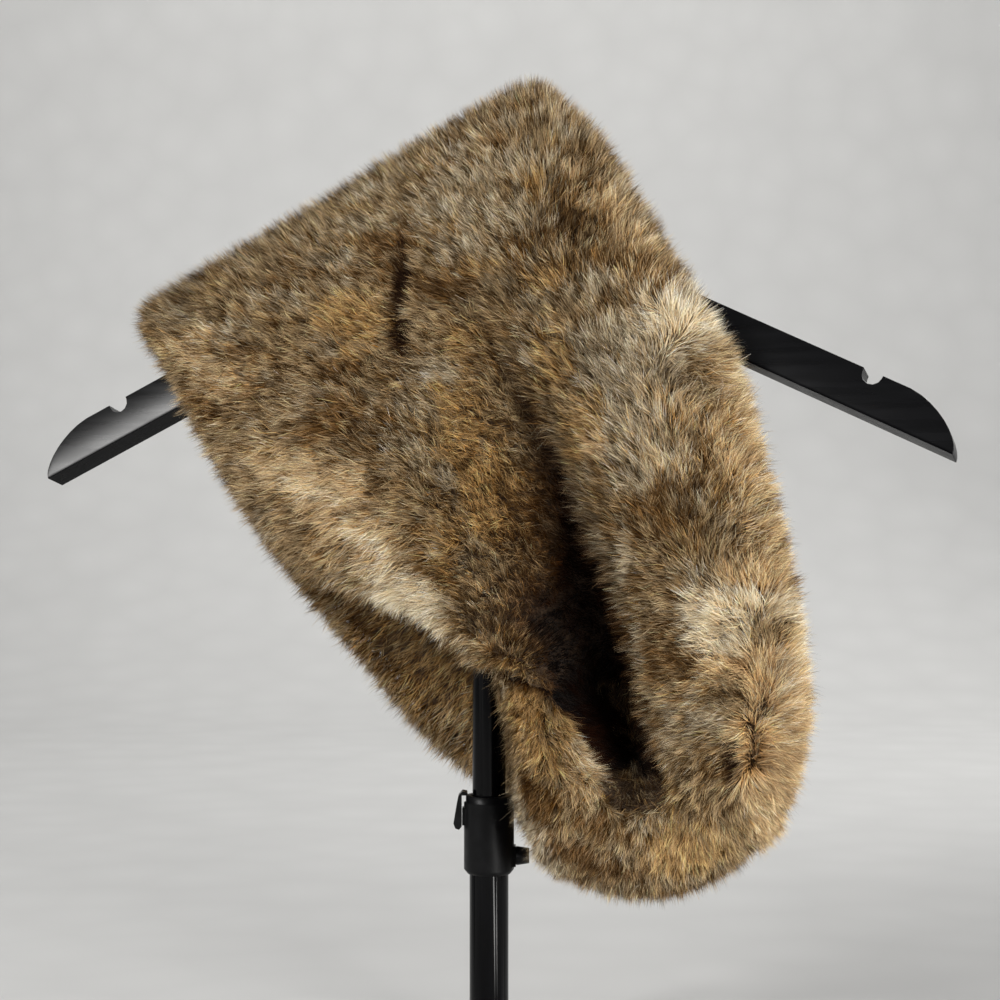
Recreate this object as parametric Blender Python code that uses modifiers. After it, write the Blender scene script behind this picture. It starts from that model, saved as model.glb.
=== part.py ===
"""Fur collar wrap on a hanger pole.

A loop of double-faced fur cloth hangs flattened over the left arm of a wooden hanger that
is fixed on a two-stage pole. Units are metres, +Z is up, -Y is the front. The origin is
the middle of the pole's lower end.

The loop is one wall whose faces are the tips of its pile. Its rows run across the cloth,
from the left long edge to the right one, and follow each other once round the loop: over
the crown, down the front, round the bottom and up the back.
"""

from collections import namedtuple
from math import cos, pi, radians, sin

import bmesh
import bpy
import numpy as np
from mathutils import Matrix, Vector

MM = 0.001
PART_NAME = "fur_collar_wrap"

# ---------------------------------------------------------------- hanger and pole, mm
SEAT_GAP = 0.3  # between pieces that touch

HANGER_WIDTH = 445.0  # tip to tip
HANGER_PLACE = (-3.3, -7.2, 386.0)  # middle of the board's lower front edge
HANGER_TURN = (-13.5, -1.2, -18.4)  # lean back, roll and yaw, degrees
ARM_DROOP = 26.7  # degrees below level
BOARD_HEIGHT = 19.3
BOARD_THICKNESS = 14.6
BOARD_EDGE = 0.9  # rounding of the board's edges
CENTRE_FLAT = 20.0  # half length of the level stretch on top and below
NOTCH_AT = 48.6  # the round notch's middle, from the arm's tip, along the arm
NOTCH_RADIUS = 4.7
NOTCH_DROP = 1.3  # how far its middle lies below the arm's top
TIP_LENGTH = 30.0  # stretch over which the arm's top runs down to its tip
TIP_POWER = 1.6
NECK_RADIUS = 5.5
NECK_HEIGHT = 21.5

UPPER_RADIUS = 8.0
LOWER_RADIUS = 9.4
TUBE_JOINT_Z = 104.0  # where the two tubes' ends meet inside the clamp
CLAMP_RADIUS = 12.1
CLAMP_TOP = 119.6
CLAMP_BOTTOM = 82.0
CLAMP_LIP = 2.2  # chamfer at the clamp's lower end
CLAMP_RIM = 3.0  # height of the narrower rim at the clamp's top
RIM_STEP = 0.9  # how much narrower the rim is
CLAMP_BORE_GAP = 0.3
EAR_REACH = 12.9  # from the pole's axis to the end of the clamp's ear and boss
EAR_WIDTH = 9.0
EAR_BELOW_TOP = 6.0
EAR_HEIGHT = 8.0
BOSS_HEIGHT = 9.6  # the seat of the knob
LEVER_WIDTH = 8.0
LEVER_LENGTH = 18.4
LEVER_ABOVE = 2.2  # above the clamp's top
KNOB_RADIUS = 4.6
KNOB_LENGTH = 6.2
KNOB_Z = 90.4

# ---------------------------------------------------------------- cloth, mm
EDGE_STEPS = (0.0, 30.0, 60.0)  # degrees round each folded long edge
FLAT_STEPS = 5  # grid steps from the left edge to the fold's slope
SLOPE_STEPS = 6
FLOOR_STEPS = 3
RIGHT_STEPS = 13  # from the fold to the right edge
FOLD_REACH_RIGHT = 0.17  # share of the width over which the right side rounds down
FOLD_REACH_BACK = 0.40  # the fold's bulge on the inner face
FULL_FOLD = 44.0  # the fold depth at which its right side leans the most
SHOULDER_LEAN = 4.0  # how far the fold's right side leans over its floor
LEAST_WALL = 6.0  # least thickness of the cloth in the fold
LIP_HEIGHT = 15.0  # how far the lip stands out at its rim
LIP_ROUND = 0.34  # rows over which the lip's rim is rounded
LIP_DROP = 17.0
STEP_BACK = 12.0  # how far the cloth under the lip is set back
POCKET_END_ROWS = 0.80  # rows over which the fold's floor rises at its closed end
SEAM_GAP = 0.4  # between two stretches of the loop
FOLD_SEAM_GAP = 1.3  # the same in the fold and under the lip
MOST_HALF_GAP = 0.03  # of a row

# One row across the cloth for each section round the loop. left and right are the middle
# of the wall at its two long edges; outer and inner are the reach of the pile from there;
# fold_at is the pocket fold's place across the width, fold is its depth in the outer face
# and follow how far the inner face follows it; slope is the width of the cloth that runs
# down into the fold from the left and floor that of its level bottom; hang is how far the
# row's middle hangs below its ends; puff is how far the cloth right of the fold stands out.
Row = namedtuple("Row", "name left right outer inner fold_at fold follow slope floor hang puff")
ROWS = (
    Row("crown", (-158, 35, 347), (22, -8, 441), 20, 10, 0.66, 0, 0, 60, 3, 0, 0),
    Row("crown_front", (-146, 10, 329), (42, -35, 423), 17, 8, 0.66, 0, 0, 60, 3, 0, 0),
    Row("high_front", (-128, 4, 299), (57, -49, 394), 17, 11, 0.65, 3, 1, 60, 3, 0, 1),
    Row("chest", (-93, -11, 250), (80, -66, 351), 17, 13, 0.62, 14, 4, 62, 3, 0, 3),
    Row("breast", (-61, -21, 227), (101, -75, 314), 16, 13, 0.57, 30, 12, 66, 5, 0, 6),
    Row("waist", (-23, -36, 214), (114, -81, 268), 16, 13, 0.49, 42, 24, 60, 9, 0, 8),
    Row("lip", (3, -45, 197), (122, -84, 233), 16, 13, 0.44, 50, 32, 38, 16, 0, 8),
    Row("cross_seam", (11, -47, 184), (126, -85, 208), 16, 13, 0.43, 52, 35, 24, 18, 0, 7),
    Row("pocket", (22, -45, 138), (130, -82, 168), 16, 13, 0.46, 52, 35, 8, 18, 2, 6),
    Row("pocket_end", (25, -41, 119), (130, -75, 149), 16, 13, 0.53, 50, 8, 7, 16, 6, 3),
    Row("low_front", (32, -32, 107), (127, -62, 133), 16, 8, 0.50, 0, 0, 20, 6, 13, 2),
    Row("bottom", (41, -13, 99), (121, -41, 118), 16, 8, 0.50, 0, 0, 24, 3, 17, 0),
    Row("low_back", (37, 9, 101), (122, -20, 125), 16, 8, 0.50, 0, 0, 24, 3, 16, 0),
    Row("back_hem", (14, 28, 116), (126, -10, 147), 16, 10, 0.50, 0, 0, 40, 3, 9, 0),
    Row("back_low", (-20, 41, 145), (127, -8, 186), 16, 13, 0.50, 0, 0, 60, 3, 3, 0),
    Row("back_waist", (-57, 53, 188), (119, -6, 244), 16, 13, 0.50, 0, 0, 60, 3, 0, 0),
    Row("back_chest", (-97, 65, 235), (98, 0, 318), 16, 13, 0.50, 0, 0, 60, 3, 0, 0),
    Row("back_high", (-131, 66, 290), (66, 7, 383), 17, 12, 0.50, 0, 0, 60, 3, 0, 0),
    Row("crown_back", (-152, 60, 329), (37, 16, 429), 17, 8, 0.50, 0, 0, 60, 3, 0, 0),
)
NAMED_ROW = {row.name: index for index, row in enumerate(ROWS)}

# Soft troughs, and ridges where depth is negative. row and across place the middle,
# along and wide are its half sizes, in rows and in shares of the width.
Trough = namedtuple("Trough", "name row across along wide depth")
TROUGHS = (
    Trough("chest_crease", 2.55, 0.42, 0.75, 0.05, 5.0),
    Trough("shoulder_swell", 3.30, 0.20, 1.50, 0.22, -4.0),
    Trough("arm_prop", 3.15, 0.86, 0.70, 0.16, -5.0),
    Trough("seam_parting", 7.10, 0.82, 0.26, 0.22, 4.5),
    Trough("rim_crease", 8.60, 0.78, 1.30, 0.05, 5.0),
    Trough("back_long", 15.6, 0.38, 2.60, 0.09, 6.0),
    Trough("back_short", 16.6, 0.70, 1.40, 0.07, 4.5),
    Trough("back_swell", 14.8, 0.62, 1.60, 0.20, -4.0),
)

# Each stretch of the loop: the rows it runs between and its grid steps along the loop.
# half_way is the share of those rows that the first half of the steps covers.
Stretch = namedtuple("Stretch", "name first last steps half_way")
STRETCHES = (
    Stretch("fur_top_fold", "crown_back", "high_front", 14, 0.50),
    Stretch("fur_front_fall", "high_front", "cross_seam", 18, 0.50),
    Stretch("fur_bottom_turn", "cross_seam", "back_hem", 24, 0.36),
    Stretch("fur_back_fall", "back_hem", "crown_back", 14, 0.50),
)


# ---------------------------------------------------------------- scene and materials
def clear_scene():
    """Removes every object that the file holds."""
    for thing in list(bpy.data.objects):
        bpy.data.objects.remove(thing, do_unlink=True)


def new_collection(name):
    """A collection linked to the scene."""
    made = bpy.data.collections.new(name)
    bpy.context.scene.collection.children.link(made)
    return made


def plain_material(name, colour, roughness, metallic=0.0):
    """A Principled material of one colour."""
    made = bpy.data.materials.new(name)
    made.use_nodes = True
    shader = made.node_tree.nodes["Principled BSDF"]
    shader.inputs["Base Color"].default_value = (*colour, 1.0)
    shader.inputs["Roughness"].default_value = roughness
    shader.inputs["Metallic"].default_value = metallic
    return made


def fur_material():
    """Brown and grey imitation fur."""
    return plain_material("fur", (0.21, 0.14, 0.085), 0.85)


def board_material():
    """Black satin paint on wood."""
    return plain_material("painted_wood", (0.012, 0.012, 0.013), 0.38)


def tube_material():
    """Black gloss coating on steel tube."""
    return plain_material("coated_tube", (0.008, 0.008, 0.009), 0.25)


def clamp_material():
    """Black moulded plastic."""
    return plain_material("clamp_plastic", (0.022, 0.022, 0.023), 0.48)


def new_object(name, mesh, material, collection):
    """An object for a mesh, in a collection, with one material."""
    made = bpy.data.objects.new(name, mesh)
    made.data.materials.append(material)
    collection.objects.link(made)
    return made


def mesh_from_bmesh(name, work):
    """Turns a bmesh into a mesh with its faces pointing out."""
    bmesh.ops.recalc_face_normals(work, faces=work.faces)
    mesh = bpy.data.meshes.new(name)
    work.to_mesh(mesh)
    work.free()
    return mesh


# ---------------------------------------------------------------- the loop's surface
def smooth_step(x):
    """0 below 0, 1 above 1 and a smooth rise between."""
    x = np.clip(x, 0.0, 1.0)
    return x * x * (3.0 - 2.0 * x)


def row_values(read, at):
    """A column of ROWS at fractional places round the loop, along a smooth closed curve."""
    column = np.array([read(row) for row in ROWS], dtype=float)
    count = len(ROWS)
    low = np.floor(at).astype(int)
    t = at - low
    if column.ndim == 2:
        t = t[..., None]
    before, here = column[(low - 1) % count], column[low % count]
    there, after = column[(low + 1) % count], column[(low + 2) % count]
    bend = 2 * before - 5 * here + 4 * there - after
    twist = 3 * (here - there) + after - before
    return here + 0.5 * t * ((there - before) + t * (bend + t * twist))


def middle_of_wall(at, across):
    """Points in the middle of the wall, before its folds."""
    left = row_values(lambda row: row.left, at)
    right = row_values(lambda row: row.right, at)
    hang = row_values(lambda row: row.hang, at)
    points = left + (right - left) * across[..., None]
    points[..., 2] -= hang * np.sin(pi * across)
    return points


def wall_frame(at, across):
    """Unit vectors across the cloth and out of its outer face."""
    small = 0.02
    along = middle_of_wall(at + small, across) - middle_of_wall(at - small, across)
    over = middle_of_wall(at, across + small) - middle_of_wall(at, across - small)
    out = np.cross(along, over)
    out /= np.linalg.norm(out, axis=-1, keepdims=True)
    over /= np.linalg.norm(over, axis=-1, keepdims=True)
    return over, out


def hump(x):
    """A round hump of height 1 at 0 that ends at -1 and 1."""
    return 0.5 + 0.5 * np.cos(pi * np.clip(x, -1.0, 1.0))


def cloth_width(at):
    """Length of a row between its two edges, in mm."""
    left = row_values(lambda row: row.left, at)
    right = row_values(lambda row: row.right, at)
    return np.linalg.norm(right - left, axis=-1)


def fold_depth(at):
    """Depth of the pocket fold, in mm, which ends abruptly at the row pocket_end."""
    depth = row_values(lambda row: row.fold, at).clip(0)
    past = (at - NAMED_ROW["pocket_end"]) / POCKET_END_ROWS + 1.0
    return depth * (1.0 - smooth_step(past))


def fold_share(at, across):
    """How deep each point lies in the pocket fold, from 0 to 1."""
    width = cloth_width(at)
    away = across - row_values(lambda row: row.fold_at, at)
    floor = row_values(lambda row: row.floor, at) / width
    slope = row_values(lambda row: row.slope, at) / width
    down = np.clip(-away - floor, 0.0, None) / slope
    up = 1.0 - np.clip(away / FOLD_REACH_RIGHT, 0.0, 1.0)
    return np.where(away < 0, hump(down), 1.0 - np.sqrt(1.0 - up * up))


def fold_lean(at, across):
    """How far the fold's right side leans to the left, in mm."""
    away = across - row_values(lambda row: row.fold_at, at)
    side = np.where(away > 0, np.sin(pi * fold_share(at, across)), 0.0)
    return SHOULDER_LEAN * side * fold_depth(at) / FULL_FOLD


def trough_depth(at, across):
    """The small troughs and ridges of the outer face, in mm."""
    total = np.zeros_like(at)
    count = len(ROWS)
    for trough in TROUGHS:
        rows_away = (at - trough.row + count / 2) % count - count / 2
        shape = hump(rows_away / trough.along) * hump((across - trough.across) / trough.wide)
        total += trough.depth * shape
    return total


def left_of_fold(at, across):
    """1 on the cloth left of the fold, 0 right of it."""
    place = row_values(lambda row: row.fold_at, at)
    return 1.0 - smooth_step((across - place + 0.16) / 0.16)


def seam_row(across):
    """The row at which the front fall meets the bottom turn."""
    lip = 0.45 * smooth_step(across / 0.30) * (1.0 - smooth_step((across - 0.62) / 0.36))
    return NAMED_ROW["cross_seam"] + lip


def lip_height(at, across, under_lip):
    """How far the cloth stands out near the lip, in mm; set back for what lies under it."""
    seam = seam_row(across)
    side = left_of_fold(at, across)
    if under_lip:
        return -STEP_BACK * side * (1.0 - smooth_step((at - seam) / 1.3))
    rise = LIP_HEIGHT * smooth_step((at - NAMED_ROW["chest"]) / (seam - NAMED_ROW["chest"]))
    rim = np.clip((at - seam + LIP_ROUND) / LIP_ROUND, 0.0, 1.0)
    return side * (rise - LIP_DROP * (1.0 - np.sqrt(1.0 - rim * rim)))


def puff_height(at, across):
    """How far the cloth right of the fold stands out, in mm."""
    place = row_values(lambda row: row.fold_at, at)
    puff = row_values(lambda row: row.puff, at)
    middle = 0.5 * (1.0 + place)
    return puff * hump((across - middle) / (1.05 - middle))


def wall_points(at, across, beyond, outside, under_lip):
    """Points on the wall's outer or inner face, in mm.

    beyond is the angle, in degrees, by which a point lies round a folded long edge: 90 on
    the open face and 0 at the very edge."""
    place = np.clip(across, 0.0, 1.0)
    points = middle_of_wall(at, place)
    over, out = wall_frame(at, place)
    outer = row_values(lambda row: row.outer, at)
    inner = row_values(lambda row: row.inner, at)
    half, centre = (outer + inner) / 2, (outer - inner) / 2
    angle = np.radians(beyond)
    side = np.where(across < 0.5, -1.0, 1.0)
    shift = side * half * np.cos(angle)
    rounding = np.sin(angle)
    lip = lip_height(at, place, under_lip)
    depth = fold_depth(at) * fold_share(at, place)
    height = centre + (half + puff_height(at, place) - trough_depth(at, place)) * rounding
    height = height + lip - depth
    if outside:
        shift = shift - fold_lean(at, place)
    else:
        floor = 0.5 * row_values(lambda row: row.floor, at) / cloth_width(at)
        away = across - row_values(lambda row: row.fold_at, at) + floor
        follow = row_values(lambda row: row.follow, at).clip(0)
        plain = centre - half * rounding - follow * hump(away / FOLD_REACH_BACK) * rounding
        plain = plain + np.minimum(lip, 0.0) * 0.4 + np.maximum(lip, 0.0) * 0.35
        height = np.minimum(plain, height - LEAST_WALL * rounding)
    return points + over * shift[..., None] + out * height[..., None]


def spread(low, high, steps):
    """Even steps from low to high, without high, on a new last axis."""
    share = np.arange(steps) / steps
    return low[..., None] + (high - low)[..., None] * share


def across_samples(at):
    """The grid's places across the cloth, closer together in the fold, and their angles
    round the long edges. Both have one more axis than at."""
    place = row_values(lambda row: row.fold_at, at)
    foot = place - row_values(lambda row: row.floor, at) / cloth_width(at)
    head = (foot - row_values(lambda row: row.slope, at) / cloth_width(at)).clip(0.06)
    edge = np.zeros(at.shape + (len(EDGE_STEPS),))
    flat = spread(np.zeros_like(at), head, FLAT_STEPS)
    slope = spread(head, foot, SLOPE_STEPS)
    floor = spread(foot, place, FLOOR_STEPS)
    right = 1.0 - np.cos(np.linspace(0.0, pi / 2, RIGHT_STEPS + 1))
    right = place[..., None] + (1.0 - place)[..., None] * right
    across = np.concatenate([edge, flat, slope, floor, right, edge + 1.0], axis=-1)
    middle = [90.0] * (FLAT_STEPS + SLOPE_STEPS + FLOOR_STEPS + RIGHT_STEPS + 1)
    beyond = np.array([*EDGE_STEPS, *middle, *reversed(EDGE_STEPS)])
    return across, np.broadcast_to(beyond, across.shape)


def half_gap(at, across, beyond, under_lip):
    """Half the gap at a seam, as a number of rows, measured square to the seam."""
    small = 0.02
    square = np.cross(*wall_frame(at, np.clip(across, 0.0, 1.0)))
    least = np.full(at.shape, np.inf)
    for outside in (True, False):
        there = wall_points(at + small, across, beyond, outside, under_lip)
        here = wall_points(at - small, across, beyond, outside, under_lip)
        least = np.minimum(least, np.abs(np.sum((there - here) * square, axis=-1)) / (2 * small))
    in_fold = 1.0 - smooth_step((across - 0.60) / 0.15)
    is_cross_seam = np.abs(at - NAMED_ROW["cross_seam"]) < 1.0
    gap = SEAM_GAP + (FOLD_SEAM_GAP - SEAM_GAP) * in_fold * is_cross_seam
    return np.minimum(gap / 2 / least, MOST_HALF_GAP)


def stretch_ends(stretch, across, beyond):
    """The rows between which a stretch runs, at each place across the cloth."""
    first, last = NAMED_ROW[stretch.first], NAMED_ROW[stretch.last]
    if last < first:
        last += len(ROWS)
    start = np.full_like(across, float(first))
    end = np.full_like(across, float(last))
    if stretch.first == "cross_seam":
        start = seam_row(across)
    if stretch.last == "cross_seam":
        end = seam_row(across)
    under_lip = stretch.first == "cross_seam"
    start = start + half_gap(start, across, beyond, under_lip)
    end = end - half_gap(end, across, beyond, under_lip)
    return start, end


def cloth_grids(stretch):
    """The outer and inner point grids of one stretch, in mm."""
    first, last = NAMED_ROW[stretch.first], NAMED_ROW[stretch.last]
    if last < first:
        last += len(ROWS)
    even = np.linspace(0.0, 1.0, stretch.steps + 1)
    share = np.interp(even, (0.0, 0.5, 1.0), (0.0, stretch.half_way, 1.0))
    across, beyond = across_samples(first + (last - first) * share)
    start, end = stretch_ends(stretch, across, beyond)
    at = start + (end - start) * share[:, None]
    under_lip = stretch.first == "cross_seam"
    outer = wall_points(at, across, beyond, True, under_lip)
    inner = wall_points(at, across, beyond, False, under_lip)
    return outer, inner


def quad_strip(work, low, high):
    """Joins two rows of vertices with faces."""
    for a, b, c, d in zip(low, low[1:], high[1:], high):
        corners = list(dict.fromkeys((a, b, c, d)))
        if len(corners) > 2:
            work.faces.new(corners)


def closed_wall(name, outer, inner):
    """A closed wall from two grids that meet at their first and last columns."""
    work = bmesh.new()
    front = [[work.verts.new(Vector(point) * MM) for point in row] for row in outer]
    back = []
    for row, near in zip(inner, front):
        middle = [work.verts.new(Vector(point) * MM) for point in row[1:-1]]
        back.append([near[0], *middle, near[-1]])
    for low, high in zip(front, front[1:]):
        quad_strip(work, low, high)
    for low, high in zip(back, back[1:]):
        quad_strip(work, high, low)
    quad_strip(work, back[0], front[0])
    quad_strip(work, front[-1], back[-1])
    mesh = mesh_from_bmesh(name, work)
    mesh.shade_smooth()
    mesh.set_sharp_from_angle(angle=radians(50.0))
    return mesh


def make_cloth(collection):
    """The four stretches of the fur loop."""
    fur = fur_material()
    for stretch in STRETCHES:
        outer, inner = cloth_grids(stretch)
        new_object(stretch.name, closed_wall(stretch.name, outer, inner), fur, collection)


# ---------------------------------------------------------------- hanger
def hanger_matrix():
    """The hanger's place and turn, in metres."""
    lean, roll, yaw = (radians(angle) for angle in HANGER_TURN)
    turn = Matrix.Rotation(yaw, 4, "Z") @ Matrix.Rotation(lean, 4, "X")
    turn = turn @ Matrix.Rotation(roll, 4, "Y")
    return Matrix.Translation(Vector(HANGER_PLACE) * MM) @ turn


def arm_point(from_tip, height):
    """A point of the right arm's outline in the board's plane, in mm."""
    droop = radians(ARM_DROOP)
    length = HANGER_WIDTH / 2 / cos(droop) - from_tip
    return (length * cos(droop) + height * sin(droop), height * cos(droop) - length * sin(droop))


def arm_outline():
    """Half of the board's outline, from the middle of its top to the middle below."""
    droop = radians(ARM_DROOP)
    top_level = BOARD_HEIGHT / cos(droop) - CENTRE_FLAT * sin(droop) / cos(droop)
    points = [(CENTRE_FLAT, top_level)]
    points.append(arm_point(NOTCH_AT + NOTCH_RADIUS, BOARD_HEIGHT))
    notch_steps = 6
    for step in range(notch_steps + 1):
        angle = pi * step / notch_steps
        height = BOARD_HEIGHT - NOTCH_DROP - NOTCH_RADIUS * sin(angle)
        points.append(arm_point(NOTCH_AT + NOTCH_RADIUS * cos(angle), height))
    points.append(arm_point(NOTCH_AT - NOTCH_RADIUS, BOARD_HEIGHT))
    tip_steps = 9
    for step in range(tip_steps):
        share = sin(pi / 2 * step / tip_steps)
        height = BOARD_HEIGHT * (1.0 - share**TIP_POWER) ** (1.0 / TIP_POWER)
        points.append(arm_point(TIP_LENGTH * (1.0 - share), height))
    points.append(arm_point(0.0, 0.0))
    points.append((CENTRE_FLAT, -CENTRE_FLAT * sin(droop) / cos(droop)))
    return points


def make_hanger_board(collection):
    """The flat wooden board with two arms, notched near the tips."""
    half = arm_outline()
    outline = half + [(-x, z) for x, z in reversed(half)]
    curve = bpy.data.curves.new("hanger_board", "CURVE")
    curve.dimensions = "2D"
    curve.fill_mode = "BOTH"
    curve.extrude = BOARD_THICKNESS / 2 * MM
    spline = curve.splines.new("POLY")
    spline.points.add(len(outline) - 1)
    for point, (x, z) in zip(spline.points, outline):
        point.co = (x * MM, z * MM, 0.0, 1.0)
    spline.use_cyclic_u = True
    board = new_object("hanger_board", curve, board_material(), collection)
    upright = Matrix.Rotation(pi / 2, 4, "X")
    to_middle = Matrix.Translation((0.0, BOARD_THICKNESS / 2 * MM, 0.0))
    board.matrix_world = hanger_matrix() @ to_middle @ upright
    weld = board.modifiers.new("weld", "WELD")
    weld.merge_threshold = 0.00005
    bevel = board.modifiers.new("edge", "BEVEL")
    bevel.width = BOARD_EDGE * MM
    bevel.segments = 2
    bevel.limit_method = "ANGLE"
    bevel.angle_limit = radians(40.0)


def board_top():
    """Height of the board's level top above the middle of its lower edge, in mm."""
    droop = radians(ARM_DROOP)
    return (BOARD_HEIGHT - CENTRE_FLAT * sin(droop)) / cos(droop)


def make_hanger_neck(collection):
    """The short domed neck on the board's top, which props the cloth's peak."""
    profile = bpy.data.meshes.new("hanger_neck")
    steps = 6
    points = [(0.0, 0.0, NECK_HEIGHT)]
    for step in range(1, steps + 1):
        angle = pi / 2 * (1.0 - step / steps)
        points.append((NECK_RADIUS * cos(angle), 0.0, NECK_HEIGHT * sin(angle)))
    points.append((0.0, 0.0, 0.0))
    spots = [Vector(point) * MM for point in points]
    profile.from_pydata(spots, [(i, i + 1) for i in range(len(spots) - 1)], [])
    neck = new_object("hanger_neck", profile, board_material(), collection)
    seat = (0.0, BOARD_THICKNESS / 2 * MM, (board_top() + SEAT_GAP) * MM)
    neck.matrix_world = hanger_matrix() @ Matrix.Translation(seat)
    turn = neck.modifiers.new("turn", "SCREW")
    turn.axis = "Z"
    turn.steps = 24
    turn.render_steps = 24
    turn.use_merge_vertices = True
    turn.merge_threshold = 0.00001


# ---------------------------------------------------------------- pole
def cylinder_mesh(name, radius, low, high, sides):
    """A closed upright cylinder, in mm."""
    work = bmesh.new()
    length = (high - low) * MM
    lift = Matrix.Translation((0.0, 0.0, (low + high) / 2 * MM))
    bmesh.ops.create_cone(
        work,
        cap_ends=True,
        segments=sides,
        radius1=radius * MM,
        radius2=radius * MM,
        depth=length,
        matrix=lift,
    )
    return work


def smooth_round(mesh):
    """Shades round sides smooth and keeps the ends crisp."""
    mesh.shade_smooth()
    mesh.set_sharp_from_angle(angle=radians(40.0))
    return mesh


def make_pole_lower(collection):
    """The lower, wider tube, closed by a flat end."""
    work = cylinder_mesh("pole_lower", LOWER_RADIUS, 0.0, TUBE_JOINT_Z - SEAT_GAP, 40)
    mesh = smooth_round(mesh_from_bmesh("pole_lower", work))
    new_object("pole_lower", mesh, tube_material(), collection)


def make_pole_upper(collection):
    """The upper tube, cut off along the board's underside."""
    place = hanger_matrix()
    droop = radians(ARM_DROOP)
    level = -CENTRE_FLAT * sin(droop) / cos(droop) - SEAT_GAP
    cut_at = place @ Vector((0.0, 0.0, level * MM))
    cut_out = (place.to_3x3() @ Vector((0.0, 0.0, 1.0))).normalized()
    work = cylinder_mesh("pole_upper", UPPER_RADIUS, TUBE_JOINT_Z, HANGER_PLACE[2] + 20.0, 40)
    everything = work.verts[:] + work.edges[:] + work.faces[:]
    cut = bmesh.ops.bisect_plane(
        work, geom=everything, plane_co=cut_at, plane_no=cut_out, clear_outer=True
    )
    rim = [item for item in cut["geom_cut"] if isinstance(item, bmesh.types.BMEdge)]
    bmesh.ops.holes_fill(work, edges=rim)
    mesh = smooth_round(mesh_from_bmesh("pole_upper", work))
    new_object("pole_upper", mesh, tube_material(), collection)


def ring_profile(name, points, collection, material, sides):
    """A turned ring from a closed profile of (radius, height) points, in mm."""
    mesh = bpy.data.meshes.new(name)
    spots = [Vector((radius, 0.0, height)) * MM for radius, height in points]
    count = len(spots)
    mesh.from_pydata(spots, [(i, (i + 1) % count) for i in range(count)], [])
    ring = new_object(name, mesh, material, collection)
    turn = ring.modifiers.new("turn", "SCREW")
    turn.axis = "Z"
    turn.steps = sides
    turn.render_steps = sides
    turn.use_merge_vertices = True
    turn.merge_threshold = 0.00001
    return ring


def clamp_profile():
    """The clamp's wall, down its outer side and up its stepped bore."""
    upper_bore = UPPER_RADIUS + CLAMP_BORE_GAP
    lower_bore = LOWER_RADIUS + CLAMP_BORE_GAP
    step = TUBE_JOINT_Z - SEAT_GAP / 2
    return (
        (CLAMP_RADIUS - RIM_STEP, CLAMP_TOP),
        (CLAMP_RADIUS - RIM_STEP, CLAMP_TOP - CLAMP_RIM),
        (CLAMP_RADIUS, CLAMP_TOP - CLAMP_RIM - RIM_STEP / 2),
        (CLAMP_RADIUS, CLAMP_BOTTOM + CLAMP_LIP),
        (CLAMP_RADIUS - CLAMP_LIP * 0.8, CLAMP_BOTTOM),
        (lower_bore, CLAMP_BOTTOM),
        (lower_bore, step + SEAT_GAP),
        (upper_bore, step + SEAT_GAP),
        (upper_bore, CLAMP_TOP),
    )


def box_mesh(name, low, high):
    """A closed box between two corners, in mm."""
    work = bmesh.new()
    size = [(b - a) * MM for a, b in zip(low, high)]
    middle = [(a + b) / 2 * MM for a, b in zip(low, high)]
    matrix = Matrix.Translation(middle) @ Matrix.Diagonal((*size, 1.0))
    bmesh.ops.create_cube(work, size=1.0, matrix=matrix)
    return mesh_from_bmesh(name, work)


def make_clamp(collection, cutters):
    """The moulded clamp collar with the lever's ear on its left and the knob's boss on
    its right."""
    plastic = clamp_material()
    clamp = ring_profile("pole_clamp", clamp_profile(), collection, plastic, 36)
    ear_top = CLAMP_TOP - EAR_BELOW_TOP
    blocks = (
        ("clamp_ear_tool", -EAR_REACH, ear_top - EAR_HEIGHT, ear_top),
        ("clamp_boss_tool", EAR_REACH, KNOB_Z - BOSS_HEIGHT / 2, KNOB_Z + BOSS_HEIGHT / 2),
    )
    for name, reach, low, high in blocks:
        root = (CLAMP_RADIUS - 1.6) * (1 if reach > 0 else -1)
        corner = (min(reach, root), -EAR_WIDTH / 2, low)
        mesh = box_mesh(name, corner, (max(reach, root), EAR_WIDTH / 2, high))
        block = new_object(name, mesh, plastic, cutters)
        block.hide_render = True
        block.display_type = "WIRE"
        union = clamp.modifiers.new(name, "BOOLEAN")
        union.operation = "UNION"
        union.object = block
    return plastic


def make_clamp_lever(collection, plastic):
    """The flip lever: it hooks over the clamp's rim and its grip bulges out below."""
    seat = EAR_REACH + SEAT_GAP
    top = CLAMP_TOP + LEVER_ABOVE
    low = top - LEVER_LENGTH
    rim = CLAMP_TOP + SEAT_GAP
    outline = (
        (-seat, rim),
        (-seat, low + 1.4),
        (-seat - 1.2, low),
        (-seat - 3.0, low + 0.6),
        (-seat - 3.9, low + 3.0),
        (-seat - 3.4, low + 6.0),
        (-seat - 2.3, top - 6.0),
        (-seat - 1.5, top - 2.2),
        (-seat + 0.4, top),
        (-seat + 2.6, top - 0.4),
        (-seat + 2.9, rim),
    )
    curve = bpy.data.curves.new("clamp_lever", "CURVE")
    curve.dimensions = "2D"
    curve.fill_mode = "BOTH"
    curve.extrude = LEVER_WIDTH / 2 * MM
    spline = curve.splines.new("POLY")
    spline.points.add(len(outline) - 1)
    for point, (x, z) in zip(spline.points, outline):
        point.co = (x * MM, z * MM, 0.0, 1.0)
    spline.use_cyclic_u = True
    lever = new_object("clamp_lever", curve, plastic, collection)
    lever.matrix_world = Matrix.Rotation(pi / 2, 4, "X")


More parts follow.
